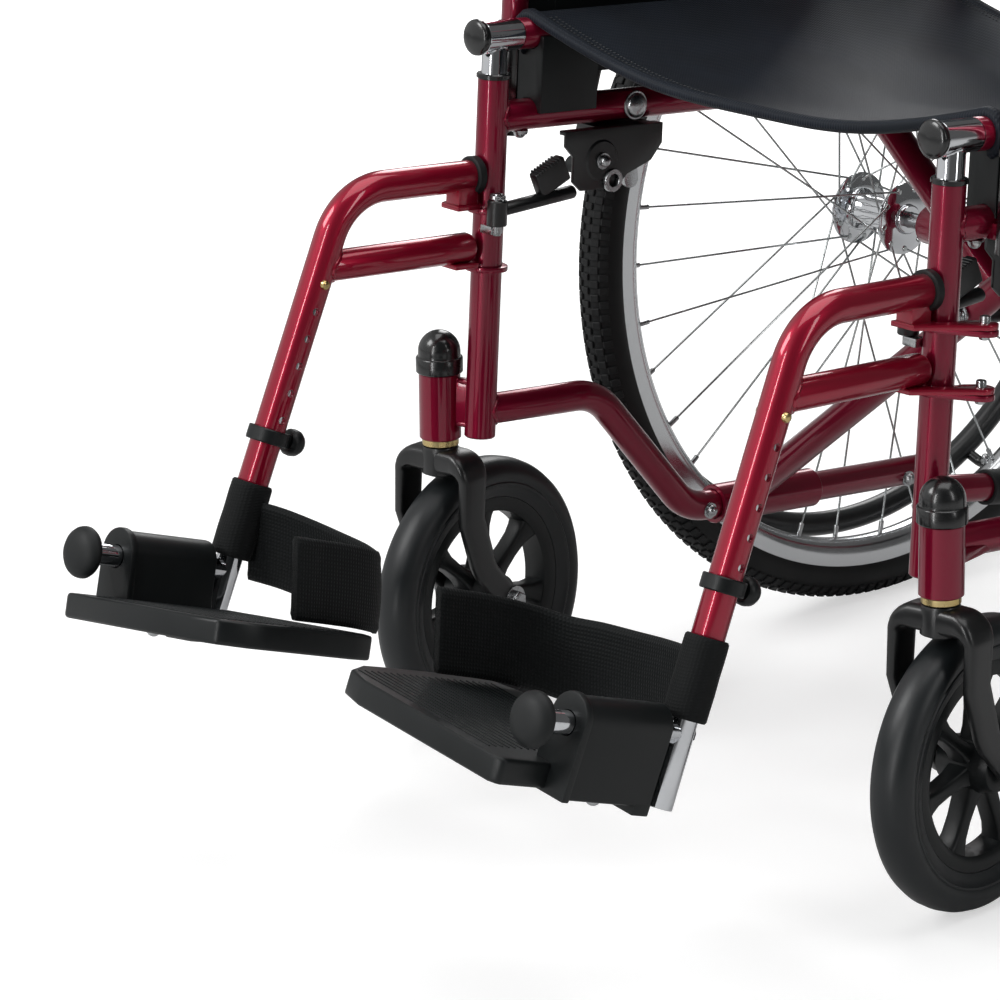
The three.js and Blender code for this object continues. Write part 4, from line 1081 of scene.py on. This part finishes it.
def back_place(u, v):
    side, share = 1 if u > 0 else -1, abs(u)
    behind = CANE_Y + max(0, v - CANE_BEND_Z) * CANE_LEAN
    if share > 1 - WRAP:
        turn = wrap_turn(share)
        normal = V((side * math.cos(turn), -math.sin(turn), 0))
        return in_frame(side, behind, v) + normal * WRAP_RADIUS, normal
    part = share / (1 - WRAP)
    slack = 16
    dip = slack + CLOTH_RISE
    slope = -dip * 2.2 * part**1.2 / CLOTH_REACH
    middle = point(side, CLOTH_REACH * part, behind + slack - dip * part**2.2, v)
    return middle, V((side * slope, -1, 0)).normalized()


def back():
    cloth = sling("back_sling", back_canvas, 121, hemmed(573, 899, 56, 5), back_place)
    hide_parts("back_upholstery")
    flat = flat_width(121, 600, back_place), 0.328
    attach(cloth, "right_frame")
    anchor = CHASSIS @ V((-HALF_TRACK - TUBE, 0, 700))
    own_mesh(cloth)


# ---- castors ----
def fork_leg(out):
    """A flattened tube that leaves the crown, turns down and trails back to the axle."""
    corners = [(0, 0, 209), (out * 31, 0, 209), (out * 31, -2, 168), (out * 30, 12, 128)]
    corners.append((out * 29.5, CASTER_TRAIL + 3, 96))
    path = [V(p) for p in bend(corners[:3], 13, 12)[:-1] + bend(corners[2:], 34, 8)]
    rings = []
    for i, p in enumerate(path):
        along = (path[min(i + 1, len(path) - 1)] - path[max(i - 1, 0)]).normalized()
        normal = (along * along.y - Y).normalized()
        other = along.cross(normal)
        share = i / (len(path) - 1)
        wide = 12.6 - 3.2 * share + 2 * math.sin(math.pi * min(share * 1.5, 1))
        deep = 9.4 - 4.6 * min(share * 2.4, 1)
        ring = []
        for a in turns_of(32):
            ahead, across = wide * squared(math.cos(a), 0.5), deep * squared(math.sin(a), 0.6)
            ring.append(p + normal * ahead + other * across)
        rings.append(ring)
    # a rounded toe below the axle
    end, last = path[-1], rings[-1]
    tail = (path[-1] - path[-2]).normalized()
    for grow, size in ((3, 0.93), (5.6, 0.74), (7.4, 0.42)):
        rings.append([end + tail * grow + (p - end) * size for p in last])
    return loft(rings)


def castor(side):
    space = castor_space(side)
    yoke = side_name("caster_yoke", side)
    hub = V((0, CASTER_TRAIL, CASTER_RADIUS))
    stem = [(0, 197), (9, 197), (13.6, 199), (13.6, 216), (12.6, 218.8), (8.5, 218.8), (8.2, 262), (0, 262)]
    fork = [fork_leg(-1), fork_leg(1), lathe(stem, (0, 0, 0), Z, 48)]
    fit("castor_yoke", side, fork, powder, yoke, "caster_fork", space)
    axle = [rod(hub - X * 36, hub + X * 36, 4.6, 28)]
    axle += [hex_bolt(hub + X * out * 34.4, X * out, 13, 6) for out in (-1, 1)]
    fit("castor_axle", side, axle, zinc, yoke, space=space)

    wheel = side_name("caster_wheel", side)
    profile = [(72, -11.4), (76, -13), (80, -14.2), (81, -15.2), (82.4, -15.2), (83.2, -14.6)]
    profile += [(85, -15.4), (89, -15.8), (93.6, -14), (97.4, -10.4), (99.4, -5.6), (100, 0)]
    profile += [(r, -h) for r, h in reversed(profile[:-1])]
    tyre = lathe(profile, hub, X, 128, closed=True)
    fit("castor_tyre", side, [tyre], castor_rubber, wheel, "caster_tyre", space)
    rim = [(61, -9.4), (62.4, -10.6), (66, -11.6), (71.6, -11.2), (71.6, 11.2)]
    rim += [(66, 11.6), (62.4, 10.6), (61, 9.4), (60.4, 3), (60.4, -3)]
    core = [(5.3, -21.5), (14, -21.5), (15.4, -20.6), (17.4, -12), (19, -8)]
    core += [(r, -h) for r, h in reversed(core)]
    # a blade widens towards hub and rim and has a rounded back
    rings = []
    for r, wide, deep in (
        (15, 8.4, 9.6), (19, 7, 9), (26, 5.6, 8), (38, 5.2, 7.4), (50, 5.8, 7.6), (57, 7.6, 8.4),
        (62.5, 10.5, 9.2),
    ):
        sides = [(squared(math.cos(a), 0.4), squared(math.sin(a), 0.4)) for a in turns_of(20)]
        rings.append([V((deep * x, wide * y, r)) for x, y in sides])
    blades = shifted(around(loft(rings), 7, nylon_mould), Matrix.Translation(hub))
    centre = [lathe(rim, hub, X, 128, closed=True), lathe(core, hub, X, 64, closed=True), blades]
    fit("castor_centre", side, centre, nylon_mould, wheel, "caster_wheel", space)


# ---- rear wheels ----
def tread_blocks(middle, r):
    """One pitch of the tread: a block on the crown, and two on each shoulder, half a pitch apart."""
    blocks = []
    for out in (-1, 1):
        for shift, angle, wide in ((0, 52, 3.6), (0.5, 27, 3.4)):
            a = math.radians(angle * out)
            foot = V((0, 0, middle)) + V((math.sin(a), 0, math.cos(a))) * (r + 0.3)
            block = eased(box((-wide, -2.9, -1.4), (wide, 2.9, 1.2)), 0.6, 1)
            step = Matrix.Rotation(-2 * math.pi / TREAD_BLOCKS * shift, 4, "X")
            blocks.append(shifted(block, step @ Matrix.Translation(foot) @ Matrix.Rotation(a, 4, "Y")))
    crown = eased(box((-3, -2.6, 15), (3, 2.6, 17.2)), 0.5, 1)
    blocks.append(shifted(crown, Matrix.Translation((0, 0, middle))))
    return joined(*blocks)


def rear_wheel(side):
    space = wheel_space(side)
    body = side_name("wheel", side)
    middle, r = REAR_RADIUS - 17.4, 15.6
    casing = arc(middle, 0, r, -140, 140, 28) + [(276, 8), (276, -8)]
    tyre = [lathe(casing, (0, 0, 0), X, 180, closed=True)]
    tyre.append(around(tread_blocks(middle, r), TREAD_BLOCKS, tyre_rubber))
    fit("rear_tyre_casing", side, tyre, tyre_rubber, body, "rear_tyre", space)

    rim = [(258.4, -4), (259.6, -7), (264, -10.6), (270, -11.8)]
    rim += [(280.6, -12.6), (281.2, -11.8), (280.8, -10.6), (276, -9.4)]
    rim += [(r, -h) for r, h in reversed(rim)] + [(258, 0)]
    barrel = [(6.3, -32), (10.4, -32), (11.4, -31), (12, -28), (27, -26.8), (28, -26)]
    barrel += [(28, -24.6), (27, -23.8), (16, -22.8), (13, -19), (11.8, -8)]
    barrel += [(r, -h) for r, h in reversed(barrel)]
    # nine spokes of each lean go from each flange, and cross on their way to the rim
    spokes, nipples = [], []
    for flange, lean, start in ((-25.4, 1, 0), (-25.4, -1, 2), (25.4, 1, 1), (25.4, -1, 3)):
        way = math.copysign(1, flange)
        rim_angle = 2 * math.pi / SPOKE_COUNT * start
        hub_angle = rim_angle + lean * math.radians(62)
        ends = (flange + 1.6 * way * lean, hub_angle, SPOKE_FLANGE), (2.2 * way, rim_angle, SPOKE_RIM)
        inner, outer = [V((x, -math.sin(a) * r, math.cos(a) * r)) for x, a, r in ends]
        spokes.append(rod(inner, outer, 0.85, 8, 0.2))
        spokes.append(lathe([(0, -1.2), (2, -0.8), (2.4, 0), (2, 0.8), (0, 1.2)], inner, X, 10))
        along = (outer - inner).normalized()
        nipples.append(rod(outer - along * 11, outer + along * 1.5, 1.9, 10, 0.4))
    valve = rod((0, 0, 232), (0, 0, 259), 3, 16)
    parts = [
        (lathe(rim, (0, 0, 0), X, 180, closed=True), alloy),
        (lathe(barrel, (0, 0, 0), X, 96, closed=True), chrome),
        (around(joined(*spokes), 9, wire), wire),
        (around(joined(*nipples), 9, zinc), zinc),
        (shifted(valve, Matrix.Rotation(math.radians(95), 4, "X")), soft_rubber),
    ]
    fit("rear_wheel_spoked", side, parts, "wheel_metal", body, "rear_wheel", space)

    ring = [(HANDRIM_TUBE * math.cos(a), HANDRIM_TUBE * math.sin(a)) for a in turns_of(28)]
    ring = [(HANDRIM_RADIUS + x, HANDRIM_OFFSET + y) for x, y in ring]
    tab = tube(bend([(8, 0, 266), (20, 0, 266), (HANDRIM_OFFSET - 1, 0, 256)], 8, 6), 4.2, 20, 0.6)
    step = Matrix.Rotation(math.radians(30), 4, "X")
    parts = [
        (lathe(ring, (0, 0, 0), X, 180, closed=True), powder),
        (around(shifted(tab, step), 6, powder), powder),
        (around(shifted(dome_bolt(V((10, 0, 262)), -Z, 3.6, 5), step), 6, zinc), zinc),
    ]
    fit("handrim_hoop", side, parts, "black_paint", body, "handrim", space)
    cap = [(0, 32.4), (13, 32.4), (13.6, 33), (13.6, 35.4), (11.6, 37.6), (6, 38.8), (0, 39)]
    fit("hub_cap", side, [lathe(cap, (0, 0, 0), X, 48)], gloss_mould, body, space=space)


# ---- wheel locks and hanger releases ----
def upright_plate(outline, x, y, ease):
    """A bevelled plate between two planes across x."""
    return eased(prism(outline, *sorted((x, y)), across="x"), ease, 2)


def wheel_lock(side):
    body, lever_body, shoe_body = frame_of(side), "lock_lever_" + word(side), "lock_shoe_" + word(side)
    inner, outer = side * (HALF_TRACK - 18.2), side * (HALF_TRACK + 14.6)
    outboard = V((side, 0, 0))
    plate = [(54, 447), (54, 436), (62, 428), (62, 410), (70, 403), (104, 403), (114, 412)]
    plate += [(136, 420), (146, 432), (146, 447)]
    wall = [(93, 468), (93, 440), (106, 411), (134, 411), (155, 436), (155, 468)]
    parts = [upright_plate(plate, inner, inner + side * 2.8, 0.8)]
    parts.append(upright_plate(wall, outer, outer - side * 2.8, 0.8))
    parts.append(eased(box((inner + side, 92, 442), (outer - side, 145, 446)), 0.8, 2))
    # pressed lip along the top of the inner plate, and the swaged bump the pivots sit in
    parts.append(eased(box((inner + side * 0.4, 55, 443.6), (inner + side * 9, 145, 447)), 0.9, 2))
    parts.append(lathe([(0, 0), (15, 0), (13.6, 1.5), (0, 1.8)], V((inner, 88, 424)), -outboard, 48))
    fit("lock_plates", side, parts, powder, body, "lock_bracket")
    ring = [(5, 0), (8, 0), (8.4, 0.6), (8.4, 3), (8, 3.6), (5, 3.6), (4.6, 3), (4.6, 0.6)]
    bolts = [
        dome_bolt(V((inner - side * 1.6, 88, 424)), -outboard, 4.4, 6),
        lathe(ring, V((inner, 98, 409)), -outboard, 36, closed=True),
        rod(V((outer - side, 120, 425)), point(side, 274, 120, 425), 3.9, 24),
        rod(V((outer - side, 140, 450)), V((outer + side * 7, 140, 450)), 3.9, 24),
        hex_bolt(point(side, 273, 120, 425), outboard, 10, 4.5),
    ]
    fit("lock_bolts", side, bolts, zinc, body)

    near = HALF_TRACK + 15.4
    pivot = point(side, near, 120, 425)
    bar = [point(side, *p) for p in ((267, 120, 425), (269, 130, 466), (270, 146, 532))]
    lever = [rod(pivot, point(side, 269, 120, 425), 7.6, 32), tube(bend(bar, 60, 8), 4.4, 20, 0.6, 1.25)]
    fit("lock_lever_bar", side, lever, powder, lever_body, "lock_lever")
    grip = [(0, 0), (5.6, 0), (7.4, 2), (7.8, 6)] + [(8.2 - 0.7 * (k % 2), 10 + k * 4) for k in range(9)]
    grip += [(8.4, 50), (7.6, 55), (4.6, 58), (0, 58.6)]
    grip = lathe(grip, point(side, 270, 138.5, 500), V((0, 13, 54)), 36)
    fit("lock_lever_grip", side, [grip], soft_rubber, lever_body)
    blade = arc(140, 450, 7, 0, 180, 12) + arc(148, 400, 7, 190, 350, 12)
    shoe = upright_plate(blade, side * near, side * (near + 4), 0.7)
    fit("lock_shoe_arm", side, [shoe], zinc, shoe_body, "lock_shoe")
    pad = [(0, 0), (5.6, 0), (6.4, 0.8)] + [(6.5 - 0.5 * (k % 2), 4 + k * 4) for k in range(15)]
    pad = lathe(pad + [(6.4, 63), (5.6, 64), (0, 64)], point(side, near + 3.8, 148, 400), outboard, 32)
    fit("lock_shoe_pad", side, [pad], soft_rubber, shoe_body)


def release(side):
    x, y, z = side * (HALF_TRACK - 20), -9, 397
    sleeve = [(4, -11), (6.6, -11), (7.2, -10.2), (7.2, 6.4), (6.6, 7.2), (4, 7.2)]
    parts = [lathe(sleeve, (x, y, z), Z, 36, closed=True)]
    parts.append(tube([(x, y + 3, z), point(side, HALF_TRACK - 23, 58, 405)], 5.6, 28, 1.4, 0.86))
    turn = Matrix.Translation((side * (HALF_TRACK - 21), 38, 417)) @ Matrix.Rotation(0.45, 4, "X")
    parts.append(shifted(eased(box((-4.6, -14, -9), (4.6, 14, 10)), 2.2, 3), turn))
    rib = eased(box((-5.2, -11, 8.8), (5.2, -9.4, 10.6)), 0.4, 1)
    parts.append(shifted(in_a_row(rib, 8, (0, 2.8, 0), powder), turn))
    fit("release_bar", side, parts, powder, "release_" + word(side), "release_lever")
    foot = box((x, y - 5, 379.6), (side * (HALF_TRACK - 8), y + 6, 385.6))
    coil = [(k * 0.6, 404.6 + k * 0.12) for k in range(30)]
    coil = [(x + 5.2 * math.cos(a), y + 5.2 * math.sin(a), h) for a, h in coil]
    pin = [rod((x, y, 379), (x, y, 409), 3.5, 28, 0.8), eased(foot, 1, 2), tube(coil, 0.7, 8, 0.2)]
    fit("release_pin", side, pin, zinc, frame_of(side))


# ---- armrests ----
def arm_pad(side, low):
    """An upholstered pad: a crowned form on a flat board."""
    rings = []
    for y in spread(0, 1, 49):
        share = abs(2 * y - 1)
        taper = (1 - share**7) ** (1 / 3) if share < 1 else 0
        ring = []
        for a in turns_of(48):
            wide = 25.6 * squared(math.cos(a), 0.42) * max(taper, 0.25)
            tall = 12 + 12 * squared(math.sin(a), 0.5) * max(taper**0.5, 0.45)
            crown = 1.6 * max(math.sin(a), 0) * (1 - (wide / 26) ** 2)
            ring.append(V((side * ARM_X + wide, 70 + 256 * y, low + max(tall + crown - 0.8, 0))))
        rings.append(ring)
    return loft(rings)


def armrest(side):
    body = side_name("armrest", side)
    front, rear = ARM_LEGS
    corners = [(front, 446), (front, ARM_TOP), (rear, ARM_TOP), (rear, 446)]
    loop = tube(bend([point(side, ARM_X, y, z) for y, z in corners], 40, 14), ARM_TUBE, 32)
    fit("armrest_loop", side, [loop], candy, body, "armrest_frame")
    shape = arm_pad(side, ARM_TOP + ARM_TUBE + 0.3)
    pad = fit("arm_pad_vinyl", side, [shape], vinyl, body, "arm_pad", smooth=60)
    # the skirt guard fills the loop, notched round its two sockets
    clear, round_off = 14.5, 32
    low, high, top = front + 9.8, rear - 9.8, ARM_TOP - 9.8
    outline = [(low, 508), (front + clear, 508), (front + clear, 480)]
    outline += [(rear - clear, 480), (rear - clear, 508), (high, 508)]
    outline += arc(high - round_off, top - round_off, round_off, 0, 90, 8)
    outline += arc(low + round_off, top - round_off, round_off, 90, 180, 8)
    inset = [(low + 26, 520), (high - 26, 520), (high - 26, top - 30), (low + 26, top - 30)]
    middle = side * ARM_X
    panel = [upright_plate(outline, middle - 1.5, middle + 1.5, 0.7)]
    panel.append(upright_plate(inset, middle - 2.4, middle + 2.4, 0.8))
    fit("skirt_guard", side, panel, nylon_mould, body, "side_panel")
    screws = []
    for y in (low + 12, high - 12):
        for z in (560, 680):
            screws.append(dome_bolt(point(side, ARM_X - 1.5, y, z), V((-side, 0, 0)), 3.4, 4.6))
    fit("skirt_screws", side, screws, zinc, body)


for which in (-1, 1):
    for make in (
        side_frame, castor_cap, fittings, seat_rails, hanger, footrest, footplate, heel_loop,
        castor, rear_wheel, wheel_lock, release, armrest,
    ):
        make(which)
braces()
seat()
back()


# ---- the room ----
def smooth_range(tree, value, low, high, at_low, at_high):
    """Goes smoothly from one output to another while a value goes from low to high."""
    span = {"From Min": low, "From Max": high, "To Min": at_low, "To Max": at_high}
    span["interpolation_type"] = "SMOOTHSTEP"
    return node(tree, "ShaderNodeMapRange", span, {"Value": value}).outputs[0]


def studio():
    half = 9
    corners = [V((x, y, 0)) for x, y in ((-half, -half), (half, -half), (half, half), (-half, half))]
    floor = placed("floor", mesh_of("floor", (corners, [(0, 1, 2, 3)])))
    paper, tree = blank_material("seamless_paper")
    # blown out to white for the eye by a painted glow, weaker near the chair and full white further out, but
    # greyer as a reflector, so the pieces keep their blacks
    seen = node(tree, "ShaderNodeLightPath").outputs["Is Camera Ray"]
    spot = node(tree, "ShaderNodeTexCoord").outputs["Object"]
    away = node(tree, "ShaderNodeVectorMath", {"operation": "LENGTH"}, {0: spot}).outputs["Value"]
    painted_glow_by_distance = smooth_range(tree, away, 0.8, 2.6, 0.54, 1.0)
    painted_floor_glow = node(tree, "ShaderNodeMath", {"operation": "MULTIPLY"}, {0: seen, 1: painted_glow_by_distance}).outputs[0]
    settings = {"Base Color": linear("#d2d2d2"), "Roughness": 0.9, "Specular IOR Level": 0.1}
    settings["Emission Color"] = (1, 1, 1, 1)
    close_material(tree, settings, {"Emission Strength": painted_floor_glow})
    floor.data.materials.append(paper)
    world = bpy.data.worlds.new("studio")
    bpy.context.scene.world = world
    world.use_nodes = True
    tree = world.node_tree
    tree.nodes.clear()
    # the pieces see a dim room with a pale wall on one side; the eye sees white paper all round
    way = node(tree, "ShaderNodeTexCoord").outputs["Generated"]
    facing = {"operation": "DOT_PRODUCT", 1: (-0.64, -0.74, 0.2)}
    wall = node(tree, "ShaderNodeVectorMath", facing, {0: way}).outputs["Value"]
    room = smooth_range(tree, wall, 0.1, 0.95, 0.1, 0.7)
    seen = node(tree, "ShaderNodeLightPath").outputs["Is Camera Ray"]
    strength = node(tree, "ShaderNodeMix", {"data_type": "FLOAT", 3: 1.0}, {0: seen, 2: room}).outputs[0]
    sky = node(tree, "ShaderNodeBackground", {"Color": (1, 1, 1, 1)}, {"Strength": strength})
    node(tree, "ShaderNodeOutputWorld", links={0: sky.outputs[0]})
    target = V((0, 0, 0.35))
    for name, place, wide, tall, power in (
        ("key_softbox", (-1.4, -2.8, 2.9), 1.5, 1.5, 62),
        ("strip_softbox", (0.7, -3.6, 1.3), 0.25, 2.6, 34),
        ("side_softbox", (3.4, 0.4, 1.9), 0.5, 2.4, 18),
        ("back_softbox", (-2.6, 2.6, 2.6), 1.2, 2.4, 40),
        ("top_softbox", (0.2, 0.2, 3.6), 3.0, 3.0, 60),
    ):
        light = bpy.data.lights.new(name, "AREA")
        light.shape = "RECTANGLE"
        light.size, light.size_y = wide, tall
        light.energy = power
        lamp = placed(name, light)
        lamp.location = place
        lamp.rotation_euler = (target - V(place)).to_track_quat("-Z", "Y").to_euler()


def camera():
    data = bpy.data.cameras.new("camera")
    data.sensor_width = 36
    data.lens = 184.2
    data.clip_end = 60
    eye = placed("camera", data)
    yaw, pitch, roll = math.radians(50.12), math.radians(-16.38), math.radians(-0.65)
    look = V((-math.sin(yaw) * math.cos(pitch), math.cos(yaw) * math.cos(pitch), math.sin(pitch)))
    level = look.cross(Z).normalized()
    plumb = level.cross(look)
    right = level * math.cos(roll) + plumb * math.sin(roll)
    up = plumb * math.cos(roll) - level * math.sin(roll)
    turn = Matrix((right, up, -look)).transposed().to_4x4()
    eye.matrix_world = Matrix.Translation(GROUND @ V((2480.43, -2227.93, 1213.89))) @ turn
    bpy.context.scene.camera = eye


studio()
camera()
bpy.context.scene.view_settings.view_transform = "Standard"
